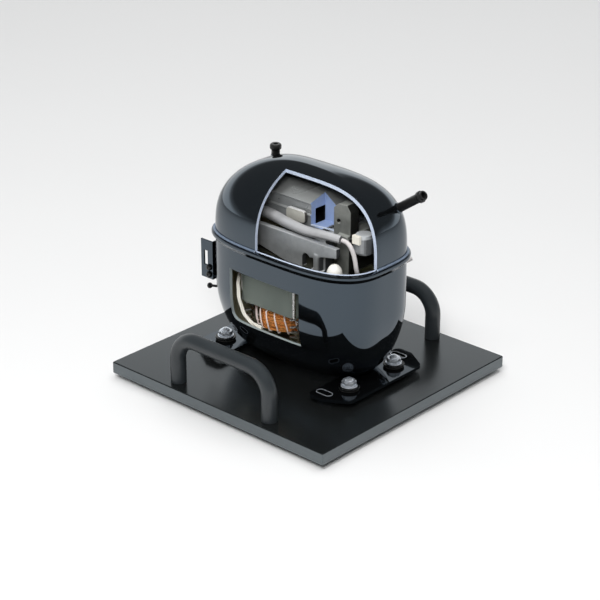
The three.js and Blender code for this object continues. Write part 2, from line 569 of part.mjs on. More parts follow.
// ---------------------------------------------------------------- cylinder block
const WALL_TOP = { front: 174.6, back: 178 };
const wallOutline = (top) => [
  [-52, 156], [-32, 151], [5, 143.5], [27, 143.5], [27, 156], [28.2, 158.3], [31.5, 159.5], [34.8, 158.3],
  [36, 156], [52, 160.8], [72, 165], [72, top], [-52, top],
];
const BLOCK_Y = { inner: 33, outer: 39.5 };
const sideWalls = [
  extrudeY(polygon(wallOutline(WALL_TOP.front)), -BLOCK_Y.outer, -BLOCK_Y.inner),
  extrudeY(polygon(wallOutline(WALL_TOP.back)), BLOCK_Y.inner, BLOCK_Y.outer),
];
const legs = corners.map(({ sx, sy }) =>
  box(CRANK_X + sx * 31 - 4, CRANK_X + sx * 31 + 4, Math.min(sy * 35, sy * 39.5), Math.max(sy * 35, sy * 39.5),
    STATOR.z1 + GAP, DECK.z0 + 1));
const wallPosts = corners.map(({ sx, sy }) =>
  cylinder(CRANK_X + sx * 27, sy * 35, DECK.z0 + 1, 160, 3.4, 16));
const frontPost = cylinder(45, -35.5, DECK.z0 + 1, 162, 5.2, 20);
const endBridge = box(46, BARREL.x1, -BLOCK_Y.inner - 1, BLOCK_Y.inner + 1, 141, 178);
const block = cut(
  union(box(-52, BARREL.x1, -BLOCK_Y.outer + 1, BLOCK_Y.outer - 1, DECK.z0, DECK.z1),
    ...sideWalls, ...legs, ...wallPosts, frontPost, endBridge,
    cylinderX(BARREL.x0, BARREL.x1, 0, BORE_Z, BARREL.r, 28),
    cylinder(CRANK_X, 0, 119.8, DECK.z1 - 1, 12.5, 24)),
  cylinderX(BARREL.x0 - 1, BARREL.x1 + 1, 0, BORE_Z, BORE_R, 28),
  cylinder(CRANK_X, 0, 110, 160, SHAFT_R + GAP, 24),
  ...HEAD_BOLT.z.flatMap((z) => DEPTHS.map(([, sy]) =>
    cylinderX(44, BARREL.x1 + 1, sy * HEAD_BOLT.y, z, HEAD_BOLT.r + GAP, 12))));
add('cylinder_block', block, 'cast');

const boltHolesX = (x0, x1) => HEAD_BOLT.z.flatMap((z) => DEPTHS.map(([, sy]) =>
  cylinderX(x0, x1, sy * HEAD_BOLT.y, z, HEAD_BOLT.r + GAP, 12)));
add('valve_plate', cut(
  box(VALVE_PLATE.x0, VALVE_PLATE.x1, -HEAD.y, HEAD.y, HEAD.z0, 178.8),
  cylinderX(50, 60, 6, BORE_Z, 2.6, 12), cylinderX(50, 60, -6, BORE_Z, 2.6, 12),
  ...boltHolesX(50, 60)), 'steel');
const headBody = extrudeY(polygon([
  [HEAD.x0, HEAD.z0], [HEAD.x1 - 5, HEAD.z0], [HEAD.x1, HEAD.z0 + 5], [HEAD.x1, HEAD.z1 - 3],
  [HEAD.x1 - 3, HEAD.z1], [HEAD.x0, HEAD.z1],
]), -HEAD.y, HEAD.y);
const coverBody = extrudeY(polygon([
  [VALVE_COVER.x0, HEAD.z1 - 3], [VALVE_COVER.x1, HEAD.z1 - 3], [VALVE_COVER.x1, VALVE_COVER.z1 - 7],
  [VALVE_COVER.x1 - 5, VALVE_COVER.z1], [VALVE_COVER.x0 + 6, VALVE_COVER.z1 - 1], [VALVE_COVER.x0, VALVE_COVER.z1 - 6],
]), VALVE_COVER.y0, VALVE_COVER.y1);
add('cylinder_head', cut(union(headBody, coverBody),
  cylinderY(VALVE_COVER.port.x, VALVE_COVER.y0 - 1, VALVE_COVER.y0 + 7, VALVE_COVER.port.z, VALVE_COVER.port.r, 14),
  box(HEAD.x0 - 1, HEAD.x1 - 6, -12, -1.5, 150, 168),
  box(HEAD.x0 - 1, HEAD.x1 - 6, 1.5, 12, 150, 168),
  ...boltHolesX(HEAD.x0 - 2, HEAD.x1 + 2)), 'cast');
HEAD_BOLT.z.forEach((z, level) => {
  DEPTHS.forEach(([depth, sy]) => {
    add(`head_bolt_${level === 0 ? 'lower' : 'upper'}_${depth}`,
      turnedAlong(new THREE.Vector3(46, sy * HEAD_BOLT.y, z), new THREE.Vector3(1, 0, 0), [
        [0, 0], [HEAD_BOLT.r, 0], [HEAD_BOLT.r, HEAD.x1 - 46 + GAP], [HEAD_BOLT.head, HEAD.x1 - 46 + GAP],
        [HEAD_BOLT.head, HEAD.x1 - 46 + 3.4], [0, HEAD.x1 - 46 + 3.4]], 12), 'steel');
  });
});

// ---------------------------------------------------------------- mufflers and internal pipes
const blockTop = WALL_TOP.back + GAP;

// a shape drawn in Y and Z, extruded from x0 to x1
function extrudeX(points, x0, x1) {
  const shape = polygon(points);
  return new THREE.ExtrudeGeometry(shape, { depth: x1 - x0, bevelEnabled: false })
    .applyMatrix4(new THREE.Matrix4().set(0, 0, 1, x0, 1, 0, 0, 0, 0, 1, 0, 0, 0, 0, 0, 1));
}

// suction muffler: a long pressed housing, its right front corner cut away to show the hollow
const MUFFLER = { x0: -50, x1: 35, cutX: 20, cutY: 2.5, wallY: -12, hollowY: 15, hollowTop: 196.3, hollowX: -8 };
const mufflerProfile = [
  [-19, blockTop], [24, blockTop], [24, 203], [16, 211], [8, 211], [-19.7, 203.4], [-18.4, 201.8],
  [-18.4, 191.8], [-20, 191], [-20, 189.6], [-19, 189],
];
const mufflerLug = box(-30, -8, 20, BLOCK_Y.outer - 1, blockTop, 186);
const endSlope = extrudeY(polygon([
  [MUFFLER.cutX, 209.4], [MUFFLER.x1 + 1, 198], [MUFFLER.x1 + 1, 220], [6, 220], [6, 211.2],
]), -30, 30);
add('suction_muffler', cut(
  union(extrudeX(mufflerProfile, MUFFLER.x0, MUFFLER.x1), mufflerLug),
  box(MUFFLER.cutX, MUFFLER.x1 + 1, -40, MUFFLER.cutY, blockTop + 1.8, 230),
  box(MUFFLER.hollowX, MUFFLER.cutX + 0.1, MUFFLER.wallY, MUFFLER.cutY, blockTop + 1.8, MUFFLER.hollowTop),
  box(MUFFLER.hollowX, MUFFLER.cutX - 2, MUFFLER.cutY - 0.1, MUFFLER.hollowY, blockTop + 1.8, MUFFLER.hollowTop),
  endSlope), 'blue');
const INLET = { x0: -9, x1: 17, y0: -24.6, y1: -20.4, z0: 182, z1: 195 };
add('muffler_inlet', extrudeY(
  roundedRect((INLET.x1 - INLET.x0) / 2, (INLET.z1 - INLET.z0) / 2, 4.5, 4), INLET.y0, INLET.y1)
  .translate((INLET.x0 + INLET.x1) / 2, 0, (INLET.z0 + INLET.z1) / 2), 'cast');

// a round tube whose radius changes along a mostly level path
function tapered(points, radiusAt, steps, sides) {
  const curve = new THREE.CatmullRomCurve3(points.map((p) => new THREE.Vector3(...p)), false, 'centripetal');
  const up = new THREE.Vector3(0, 0, 1);
  const rings = Array.from({ length: steps + 1 }, (_, i) => {
    const along = curve.getTangentAt(i / steps);
    const side = up.clone().cross(along).normalize();
    const top = along.clone().cross(side);
    const r = radiusAt(i / steps);
    return Array.from({ length: sides }, (__, k) => {
      const angle = (2 * Math.PI * k) / sides;
      return curve.getPointAt(i / steps).addScaledVector(side, r * Math.cos(angle))
        .addScaledVector(top, r * Math.sin(angle)).toArray();
    });
  });
  return loft(rings);
}
const SUCTION_PIPE = [
  [-46, -26.5, 182.6], [-38, -27, 182.8], [-27, -28.4, 183], [-15, -30.3, 182.8], [-4, -31.6, 181.8], [8, -32.4, 181],
  [24.5, -34, 180.9], [37, -35.4, 182.2], [48.9, -36.5, 184], [60, -36.6, 184.8], [68, -35.8, 184.8], [73.2, -34.6, 184.4],
];
const SUCTION_R = { thick: 5.7, thin: 4.2 };
add('suction_pipe', tapered(SUCTION_PIPE,
  (t) => SUCTION_R.thick + (SUCTION_R.thin - SUCTION_R.thick) * Math.min(1, Math.max(0, (t - 0.3) / 0.6)), 24, 12),
'tube');
const DISCHARGE_PATH = [
  [74.2, -34.1, 184.1], [80, -33, 182.6], [85, -33, 178.8], [88.6, -33, 172.6], [90.8, -33, 165.5],
  [92, -32.4, 157], [92.6, -29, 146], [92.4, -22, 134], [91.8, -8, 123], [90, 8, 120], [83, 25, 120], [72, 36, 120],
  [63.5, 43, 120], [60, 52, 120], [60, 66, 120], [60, 92, 120],
];
add('discharge_line', swept(DISCHARGE_PATH, DISCHARGE.tube, 44, 6), 'tube');

const VESSEL = { x: 87.3, y: -15.6, r: 10.9, z0: 168.5, z1: 189.2 };
const vesselBody = turned(VESSEL.x, VESSEL.y, [
  [0, VESSEL.z0], [VESSEL.r - 3, VESSEL.z0], [VESSEL.r, VESSEL.z0 + 3], [VESSEL.r, VESSEL.z1 - 3],
  [VESSEL.r - 3, VESSEL.z1], [0, VESSEL.z1]], 28);
add('discharge_muffler', union(vesselBody, cylinderX(HEAD.x1 + GAP, VESSEL.x, -9.5, 173, 3.6, 14)), 'cast');
const CONNECTOR = { x0: 84, x1: 93.2, y0: -30.6, y1: -26.9, z0: 182.4, z1: 191.4 };
add('connector_plug', box(CONNECTOR.x0, CONNECTOR.x1, CONNECTOR.y0, CONNECTOR.y1, CONNECTOR.z0, CONNECTOR.z1), 'beige');
const STOP = { x: 72.6, y: -42.6, r: 8, z0: 141, z1: 160.2 };
add('spring_stop', turned(STOP.x, STOP.y, [
  [0, STOP.z0], [STOP.r - 2, STOP.z0], [STOP.r, STOP.z0 + 2], [STOP.r, STOP.z0 + 10.5], [STOP.r - 1.6, STOP.z0 + 15],
  [STOP.r - 4, STOP.z1 - 1.2], [2, STOP.z1], [0, STOP.z1]], 18), 'white');

export default group;
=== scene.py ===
"""Looks of a cutaway hermetic reciprocating compressor on its demonstration board."""
import math
import random

import bpy
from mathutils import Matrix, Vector


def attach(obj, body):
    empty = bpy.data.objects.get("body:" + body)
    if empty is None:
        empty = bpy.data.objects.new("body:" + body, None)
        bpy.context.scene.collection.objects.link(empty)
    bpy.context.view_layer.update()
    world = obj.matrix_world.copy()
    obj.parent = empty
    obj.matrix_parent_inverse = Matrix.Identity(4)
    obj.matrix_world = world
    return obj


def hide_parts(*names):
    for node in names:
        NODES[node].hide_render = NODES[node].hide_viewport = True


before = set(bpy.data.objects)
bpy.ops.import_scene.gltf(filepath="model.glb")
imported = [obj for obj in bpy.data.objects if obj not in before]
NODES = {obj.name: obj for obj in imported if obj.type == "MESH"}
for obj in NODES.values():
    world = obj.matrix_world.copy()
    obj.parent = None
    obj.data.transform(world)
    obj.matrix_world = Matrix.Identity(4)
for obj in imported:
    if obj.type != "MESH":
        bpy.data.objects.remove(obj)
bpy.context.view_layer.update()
MM = 0.001

# ------------------------------------------------------------ dimensions, in mm as in the CAD
BOARD_TOP = 18.0
CRANK_X = -16.0
SHELL = {"cx": 1.5, "a": 103.5, "b": 62.5, "n": 3.2, "wall": 3.5, "bottom": 26.6, "seam": 155.0,
         "corner": 70.0, "tuck": 36.0, "low_n": 2.6}
DOME = {"h": 80.0, "right": (3.14, 2.9), "left": (2.7, 2.6), "front": (2.94, 1.35), "back": (2.6, 2.1)}
DOME_CUT = (-16.0, -16.4)
SIDE_CUT = {"x0": -55.0, "x1": 42.0, "z0": 67.0, "z1": 125.0, "corner": 9.0}
HANDLE = {"span": 127.0, "y": 127.5, "height": 52.0, "r": 8.2, "bend": 26.0}
MOUNT = (86.5, 35.0)
STATOR = {"x": 39.0, "y": 47.0, "z0": 86.0, "z1": 115.4, "corner": 9.0, "bore": 29.0}
CORNERS = {f"{depth}_{side}": (sx, sy)
           for depth, sy in (("front", -1), ("back", 1)) for side, sx in (("left", -1), ("right", 1))}
PLATE_TOP = 26.0
SLOT = {"x": 74.0, "y": 58.0, "half_x": 9.3, "half_y": 4.3}
TERMINAL_X, TERMINAL_Z, PIN_CIRCLE = -106.0, 108.0, 7.0
DISCHARGE_X, DISCHARGE_Z = 60.0, 120.0
SPRING = {"x": 32.0, "y": 39.0, "low": 49.4, "high": 84.8, "turns": 5, "r": 4.2, "wire": 0.9}
MUFFLER_CUT_X, MUFFLER_END_X, FLOOR_Z = 20.0, 36.0, 180.1

random.seed(7)


# ------------------------------------------------------------ materials
class Finish:
    """One procedural material; its nodes are added by the methods below."""

    def __init__(self, name, rough, metal=0.0, **sockets):
        self.material = bpy.data.materials.new(name)
        self.material.use_nodes = True
        self.tree = self.material.node_tree
        self.shader = self.tree.nodes["Principled BSDF"]
        self.shader.inputs["Roughness"].default_value = rough
        self.shader.inputs["Metallic"].default_value = metal
        for socket, value in sockets.items():
            self.shader.inputs[socket.replace("_", " ")].default_value = value
        self.place = self.add("ShaderNodeTexCoord").outputs["Object"]
        self.normal = None

    def add(self, kind, **settings):
        node = self.tree.nodes.new(kind)
        for key, value in settings.items():
            setattr(node, key, value)
        return node

    def wire(self, source, target):
        self.tree.links.new(source, target)

    def noise(self, scale, detail, stretch=(1, 1, 1), distortion=0.0):
        """A 0..1 noise over the object, stretched if asked."""
        mapping = self.add("ShaderNodeMapping")
        mapping.inputs["Scale"].default_value = stretch
        self.wire(self.place, mapping.inputs["Vector"])
        node = self.add("ShaderNodeTexNoise")
        node.inputs["Scale"].default_value = scale
        node.inputs["Detail"].default_value = detail
        node.inputs["Distortion"].default_value = distortion
        self.wire(mapping.outputs["Vector"], node.inputs["Vector"])
        return node.outputs["Fac"]

    def bands(self, axis, scale, distortion):
        """Parallel stripes along one axis."""
        node = self.add("ShaderNodeTexWave", bands_direction=axis, wave_profile="SIN")
        node.inputs["Scale"].default_value = scale
        node.inputs["Distortion"].default_value = distortion
        self.wire(self.place, node.inputs["Vector"])
        return node.outputs["Fac"]

    def specks(self, scale, size):
        """Small round spots, 1 inside."""
        node = self.add("ShaderNodeTexVoronoi", feature="F1")
        node.inputs["Scale"].default_value = scale
        self.wire(self.place, node.inputs["Vector"])
        return self.remap(node.outputs["Distance"], size, size * 0.6, 0.0, 1.0)

    def remap(self, value, low, high, to_low, to_high):
        node = self.add("ShaderNodeMapRange")
        sockets = ("From Min", "From Max", "To Min", "To Max")
        for socket, number in zip(sockets, (low, high, to_low, to_high)):
            node.inputs[socket].default_value = number
        self.wire(value, node.inputs["Value"])
        return node.outputs["Result"]

    def facing(self, axis, low, high):
        """1 where the surface faces along an axis, whichever way the object is seen from."""
        geometry = self.add("ShaderNodeNewGeometry")
        split = self.add("ShaderNodeSeparateXYZ")
        self.wire(geometry.outputs["Normal"], split.inputs["Vector"])
        return self.remap(split.outputs[axis], low, high, 0.0, 1.0)

    def mix(self, amount, first, second):
        """A colour between two; each is a colour or another output."""
        node = self.add("ShaderNodeMix", data_type="RGBA")
        sockets = [s for s in node.inputs if s.type == "RGBA"]
        for socket, value in zip(sockets, (first, second)):
            if isinstance(value, tuple):
                socket.default_value = (*value, 1.0)
            else:
                self.wire(value, socket)
        self.wire(amount, node.inputs[0])
        return next(s for s in node.outputs if s.type == "RGBA")

    def colour(self, value):
        self.wire(value, self.shader.inputs["Base Color"])
        return self

    def rough(self, value, low, high):
        self.wire(self.remap(value, 0.3, 0.7, low, high), self.shader.inputs["Roughness"])
        return self

    def bump(self, height, strength, depth):
        """Relief of a depth in mm; several calls stack."""
        node = self.add("ShaderNodeBump")
        node.inputs["Strength"].default_value = strength
        node.inputs["Distance"].default_value = depth * MM
        self.wire(height, node.inputs["Height"])
        if self.normal is not None:
            self.wire(self.normal, node.inputs["Normal"])
        self.normal = node.outputs["Normal"]
        self.wire(self.normal, self.shader.inputs["Normal"])
        return self


def enamel_finish():
    """Glossy black stove enamel with faint orange peel, haze and dust."""
    f = Finish("black_enamel", 0.05, IOR=1.92, Specular_Tint=(0.66, 0.83, 1.0, 1.0))
    haze = f.noise(14, 4)
    f.colour(f.mix(f.specks(420, 0.05), (0.0022, 0.0024, 0.0026), (0.02, 0.02, 0.02)))
    f.rough(haze, 0.035, 0.075)
    return f.bump(f.noise(260, 2), 0.12, 0.02).material


def board_finish():
    """Black laminate with a fine grain on its faces and a greyer edge band."""
    f = Finish("black_laminate", 0.2, IOR=1.82, Specular_Tint=(0.82, 0.93, 1.0, 1.0))
    grain = f.noise(900, 3)
    top = f.mix(grain, (0.004, 0.0045, 0.0045), (0.010, 0.011, 0.011))
    band = f.mix(f.noise(60, 5, (1, 1, 9)), (0.048, 0.056, 0.059), (0.072, 0.081, 0.084))
    f.colour(f.mix(f.facing("Z", 0.35, 0.6), band, top))
    f.rough(f.noise(9, 5), 0.19, 0.26)
    return f.bump(grain, 0.10, 0.03).material


def powder_finish():
    """Satin black powder coat with its fine pebbled skin."""
    f = Finish("powder_coat", 0.42, IOR=1.5)
    pebble = f.noise(1500, 3)
    f.colour(f.mix(f.noise(30, 4), (0.019, 0.023, 0.026), (0.032, 0.038, 0.042)))
    f.rough(f.noise(40, 4), 0.32, 0.46)
    return f.bump(pebble, 0.35, 0.06).material


def rubber_finish():
    """Dull black rubber with a dusty skin."""
    f = Finish("rubber", 0.75)
    f.colour(f.mix(f.noise(300, 6), (0.010, 0.010, 0.010), (0.028, 0.028, 0.027)))
    f.rough(f.noise(90, 4), 0.6, 0.85)
    return f.bump(f.noise(2200, 3), 0.3, 0.05).material


def cut_finish(name="section_blue", dark=(0.27, 0.37, 0.62), light=(0.40, 0.51, 0.76)):
    """Pale brush-painted section faces."""
    f = Finish(name, 0.45)
    brush = f.noise(220, 4, (1, 1, 0.25))
    f.colour(f.mix(brush, dark, light))
    f.rough(brush, 0.35, 0.55)
    return f.bump(brush, 0.3, 0.06).material


def zinc_finish():
    """Bright zinc plating with a cloudy blue passivation."""
    f = Finish("bright_zinc", 0.3, 0.85)
    cloud = f.noise(120, 5, distortion=0.6)
    f.colour(f.mix(cloud, (0.74, 0.82, 0.93), (0.94, 0.96, 0.98)))
    f.rough(cloud, 0.22, 0.38)
    return f.bump(f.noise(1400, 3), 0.12, 0.03).material


def steel_finish(name="turned_steel", light=(0.62, 0.62, 0.60), dark=(0.40, 0.40, 0.39), axis="Z"):
    """Machined steel with fine turning marks."""
    f = Finish(name, 0.3, 1.0)
    f.colour(f.mix(f.noise(90, 5), dark, light))
    f.rough(f.noise(160, 4), 0.22, 0.4)
    return f.bump(f.bands(axis, 900, 0.4), 0.12, 0.02).material


def cast_finish(name="cast_iron", dark=(0.13, 0.135, 0.125), light=(0.30, 0.31, 0.29)):
    """Sand-cast metal: mottled, rough, with small pits; painted light on its upward faces and painted shade
    on faces turned towards +X.
    """
    f = Finish(name, 0.5, 0.5)
    mottled = f.noise(110, 8)
    base = f.mix(mottled, dark, light)
    # painted light: faces turned upwards are lightened towards 1.7 times the light tone
    top_painted_light = f.mix(f.facing("Z", 0.1, 0.9), base, tuple(min(1.0, 1.7 * c) for c in light))
    # painted shade: faces turned towards +X are darkened to near black
    side_painted_shade = f.mix(f.facing("X", 0.45, 0.8), top_painted_light, tuple(0.22 * c for c in dark))
    f.colour(f.mix(f.specks(260, 0.09), side_painted_shade, tuple(0.7 * c for c in dark)))
    f.rough(f.noise(200, 6), 0.38, 0.62)
    f.bump(f.noise(420, 6), 0.5, 0.22)
    return f.bump(f.noise(1600, 4), 0.3, 0.05).material


def pressed_finish():
    """Drawn sheet steel with oil film and drawing lines, and painted light on its upward faces."""
    f = Finish("pressed_steel", 0.36, 0.35)
    film = f.noise(26, 6, (1, 1, 2.2), distortion=0.8)
    sheet = f.mix(film, (0.22, 0.23, 0.235), (0.40, 0.415, 0.42))
    # painted light: faces turned upwards are lightened
    f.colour(f.mix(f.facing("Z", 0.3, 0.95), sheet, (0.42, 0.435, 0.43)))
    f.rough(film, 0.24, 0.42)
    f.bump(f.noise(500, 3, (0.15, 1, 1)), 0.15, 0.05)
    return f.bump(f.noise(60, 3), 0.25, 0.3).material


def inner_finish():
    """Bare drawn steel inside the shell, browned with an oil film."""
    f = Finish("shell_inside", 0.45, 0.1)
    film = f.noise(30, 6, (1, 1, 2), distortion=0.7)
    f.colour(f.mix(film, (0.36, 0.35, 0.24), (0.54, 0.53, 0.37)))
    f.rough(film, 0.35, 0.55)
    return f.bump(f.noise(300, 4), 0.2, 0.08).material


def lining_finish():
    """Inside of the dome, black with oil."""
    f = Finish("dome_inside", 0.4)
    film = f.noise(30, 6, (1, 1, 2), distortion=0.7)
    f.colour(f.mix(film, (0.010, 0.013, 0.015), (0.035, 0.045, 0.052)))
    f.rough(film, 0.3, 0.5)
    return f.bump(f.noise(300, 4), 0.2, 0.08).material


def lamination_finish():
    """Edges of stacked electrical sheets, oxide grey-green."""
    f = Finish("lamination_stack", 0.5, 0.55)
    stain = f.noise(40, 7, (1, 1, 0.6))
    f.colour(f.mix(stain, (0.17, 0.20, 0.18), (0.33, 0.37, 0.335)))
    f.rough(stain, 0.4, 0.6)
    return f.bump(f.noise(1100, 4, (1, 1, 0.3)), 0.3, 0.05).material


def copper_finish():
    """Enamelled copper wire, brighter where the varnish is thin."""
    f = Finish("enamelled_copper", 0.25, 0.55, Coat_Weight=0.7, Coat_Roughness=0.12)
    f.colour(f.mix(f.noise(130, 4), (0.88, 0.27, 0.05), (1.0, 0.52, 0.16)))
    f.rough(f.noise(300, 4), 0.18, 0.34)
    return f.bump(f.noise(700, 3), 0.2, 0.03).material


def cord_finish():
    """Braided white cotton with varnish stains."""
    f = Finish("lacing_cord", 0.65, Sheen_Weight=0.3)
    f.colour(f.mix(f.noise(160, 4), (0.80, 0.62, 0.58), (0.97, 0.90, 0.86)))
    f.rough(f.noise(500, 3), 0.5, 0.75)
    return f.bump(f.bands("DIAGONAL", 700, 1.5), 0.5, 0.12).material


def plastic_finish(name, dark, light, rough=0.4, grain=900):
    """Moulded plastic with a fine erode texture and slight yellowing."""
    f = Finish(name, rough)
    f.colour(f.mix(f.noise(35, 4), dark, light))
    f.rough(f.noise(120, 4), rough - 0.08, rough + 0.1)
    return f.bump(f.noise(grain, 3), 0.2, 0.04).material


def tube_finish(name, dark, light, low, high, metal=0.9):
    """Drawn tube with a heat tint and painted shade on its underside."""
    f = Finish(name, low, metal)
    tint = f.noise(70, 6, distortion=0.5)
    tinted = f.mix(tint, dark, light)
    # painted shade: faces turned downwards are darkened to about a quarter of the dark tone
    f.colour(f.mix(f.facing("Z", -0.7, 0.6), tuple(0.28 * c for c in dark), tinted))
    f.rough(tint, low, high)
    return f.bump(f.noise(800, 3), 0.08, 0.04).material


def glass_finish():
    """Dark green sealing glass."""
    f = Finish("sealing_glass", 0.12, Coat_Weight=0.5)
    f.colour(f.mix(f.noise(300, 5), (0.02, 0.035, 0.03), (0.06, 0.09, 0.075)))
    return f.bump(f.noise(500, 3), 0.15, 0.05).material


ENAMEL = enamel_finish()
LAMINATE = board_finish()
POWDER = powder_finish()
RUBBER = rubber_finish()
CUT_BLUE = cut_finish()
CUT_PALE = cut_finish("section_pale", (0.44, 0.52, 0.66), (0.60, 0.67, 0.80))
CUT_GREY = cut_finish("section_grey", (0.26, 0.31, 0.32), (0.38, 0.43, 0.43))
INNER = inner_finish()
LINING = lining_finish()
ZINC = zinc_finish()
STEEL = steel_finish()
STEEL_X = steel_finish("bored_steel", axis="X")
BRIGHT = steel_finish("bright_steel", (0.80, 0.80, 0.78), (0.58, 0.58, 0.57))
DARK_STEEL = steel_finish("blackened_steel", (0.10, 0.10, 0.10), (0.05, 0.05, 0.05))
CAST = cast_finish()
CAST_LIGHT = cast_finish("cast_grey", (0.27, 0.285, 0.295), (0.45, 0.465, 0.475))
# near-black copy of the cast finish, used as painted shade in the block's recesses
CAST_PAINTED_SHADE = cast_finish("cast_painted_shade", (0.012, 0.013, 0.010), (0.045, 0.046, 0.036))
PRESSED = pressed_finish()
WORN = cast_finish("worn_cover", (0.50, 0.49, 0.44), (0.72, 0.71, 0.64))
LAMINATION = lamination_finish()
COPPER = copper_finish()
CORD = cord_finish()
SLEEVE = plastic_finish("white_sleeve", (0.74, 0.71, 0.63), (0.90, 0.88, 0.80), 0.45, 1400)
WHITE = plastic_finish("white_nylon", (0.80, 0.78, 0.72), (0.92, 0.91, 0.87), 0.35)
BEIGE = plastic_finish("pale_phenolic", (0.66, 0.63, 0.55), (0.80, 0.77, 0.69), 0.5)
PIPE = tube_finish("drawn_pipe", (0.40, 0.41, 0.42), (0.68, 0.68, 0.69), 0.28, 0.42, 0.3)
LINE = tube_finish("bright_line", (0.66, 0.63, 0.62), (0.84, 0.80, 0.80), 0.30, 0.40, 0.2)
STUB = tube_finish("painted_stub", (0.012, 0.012, 0.013), (0.035, 0.034, 0.033), 0.25, 0.42, 0.2)
GLASS = glass_finish()
# blue-grey for the seam bead: a painted highlight along the flange's top edge
BEAD_HIGHLIGHT = cut_finish("seam_bead_painted_highlight", (0.10, 0.14, 0.20), (0.20, 0.25, 0.33))
# near-black finish as painted shade inside the muffler's hollow
HOLLOW_SHADE = plastic_finish("hollow_painted_shade", (0.004, 0.004, 0.004), (0.010, 0.010, 0.010), 0.6)


# ------------------------------------------------------------ mesh helpers
def piece(name, verts, faces, finish, body="base", stands_for=(), sharp=35.0):
    """A mesh piece from points in mm, on a body of the frame."""
    mesh = bpy.data.meshes.new(name)
    mesh.from_pydata([tuple(c * MM for c in v) for v in verts], [], faces)
    mesh.validate()
    shade(mesh, sharp)
    mesh.materials.append(finish)
    ob = bpy.data.objects.new(name, mesh)
    bpy.context.scene.collection.objects.link(ob)
    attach(ob, body)
    if stands_for:
        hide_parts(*stands_for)
    return ob


def shade(mesh, sharp):
    """Smooth shading, with edges sharper than the angle kept crisp."""
    mesh.shade_smooth()
    mesh.set_sharp_from_angle(angle=math.radians(sharp))


def bevel(ob, width, segments=3):
    """Rounds every sharp edge by a width in mm."""
    m = ob.modifiers.new("edges", "BEVEL")
    m.width = width * MM
    m.segments = segments
    m.limit_method = "ANGLE"
    m.angle_limit = math.radians(35)
    m.harden_normals = True
    return ob


def carry(node, finish, width):
    """A CAD node that stays, with a better finish and rounded edges."""
    ob = NODES[node]
    ob.data.materials.clear()
    ob.data.materials.append(finish)
    weld = ob.modifiers.new("weld", "WELD")
    weld.merge_threshold = 1e-5
    flat = ob.modifiers.new("flat", "DECIMATE")
    flat.decimate_type = "DISSOLVE"
    flat.angle_limit = math.radians(2)
    return bevel(ob, width, 2)


def rings_solid(rings, closed=False):
    """Vertices and faces of a skin over equal rings, capped unless it closes on itself."""
    count = len(rings[0])
    verts = [p for ring in rings for p in ring]
    faces = []
    last = len(rings) if closed else len(rings) - 1
    for level in range(last):
        low, high = level * count, ((level + 1) % len(rings)) * count
        for i in range(count):
            j = (i + 1) % count
            faces.append((low + i, low + j, high + j, high + i))
    if not closed:
        faces.append(tuple(reversed(range(count))))
        faces.append(tuple(range(len(verts) - count, len(verts))))
    return verts, faces


def frames_along(points):
    """A side and an up vector at each point, turning as little as possible along the path."""
    last = len(points) - 1
    along = [(points[min(i + 1, last)] - points[max(i - 1, 0)]).normalized() for i in range(last + 1)]
    side = along[0].orthogonal().normalized()
    out = []
    for direction in along:
        side = (side - direction * side.dot(direction)).normalized()
        out.append((side, direction.cross(side)))
    return out


def smooth_path(points, per_leg=8):
    """Catmull-Rom points through the given ones."""
    p = [Vector(q) for q in points]
    p = [p[0] * 2 - p[1], *p, p[-1] * 2 - p[-2]]
    out = []
    for i in range(1, len(p) - 2):
        for k in range(per_leg):
            t = k / per_leg
            out.append(0.5 * (2 * p[i] + (p[i + 1] - p[i - 1]) * t
                              + (2 * p[i - 1] - 5 * p[i] + 4 * p[i + 1] - p[i + 2]) * t * t
                              + (3 * p[i] - p[i - 1] - 3 * p[i + 1] + p[i + 2]) * t ** 3))
    out.append(p[-2])
    return out


def tube_data(points, radius, sides):
    """Skin of a round bar along points; radius is a number or a function of 0..1 along it."""
    size = radius if callable(radius) else lambda t: radius
    rings = []
    for i, (point, (side, up)) in enumerate(zip(points, frames_along(points))):
        r = size(i / (len(points) - 1))
        rings.append([point + (side * math.cos(a) + up * math.sin(a)) * r
                      for a in (math.tau * k / sides for k in range(sides))])
    return rings_solid(rings)


def turned(name, origin, axis, profile, finish, segments=48, **options):
    """A turned piece: profile is (radius, distance along the axis) from the axis out and back."""
    axis = Vector(axis).normalized()
    side = axis.orthogonal().normalized()
    up = axis.cross(side)
    verts, faces, rows = [], [], []
    for r, d in profile:
        base = Vector(origin) + axis * d
        if r < 1e-6:
            rows.append([len(verts)] * segments)
            verts.append(base)
        else:
            rows.append(list(range(len(verts), len(verts) + segments)))
            verts += [base + (side * math.cos(a) + up * math.sin(a)) * r
                      for a in (math.tau * k / segments for k in range(segments))]
    for low, high in zip(rows, rows[1:]):
        for k in range(segments):
            j = (k + 1) % segments
            face = tuple(dict.fromkeys((low[k], low[j], high[j], high[k])))
            if len(face) > 2:
                faces.append(face)
    return piece(name, verts, faces, finish, **options)


def rounded(half_x, half_y, r, steps=8):
    """Points of a rectangle with round corners, anticlockwise."""
    out = []
    for sx, sy, start in ((1, -1, -0.5), (1, 1, 0), (-1, 1, 0.5), (-1, -1, 1)):
        for k in range(steps + 1):
            a = (start + 0.5 * k / steps) * math.pi
            out.append((sx * (half_x - r) + r * math.cos(a), sy * (half_y - r) + r * math.sin(a)))
    return out


def extruded(name, outline, z0, z1, finish, edge):
    """An outline in X and Y, raised from z0 to z1, with its edges rounded."""
    rings = [[(x, y, z) for x, y in outline] for z in (z0, z1)]
    return bevel(piece(name, *rings_solid(rings), finish), edge)


def extruded_y(name, outline, y0, y1, finish, edge, **options):
    """An outline in X and Z, run from y0 to y1, with its edges rounded."""
    rings = [[(x, y, z) for x, z in outline] for y in (y1, y0)]
    return bevel(piece(name, *rings_solid(rings), finish, **options), edge)


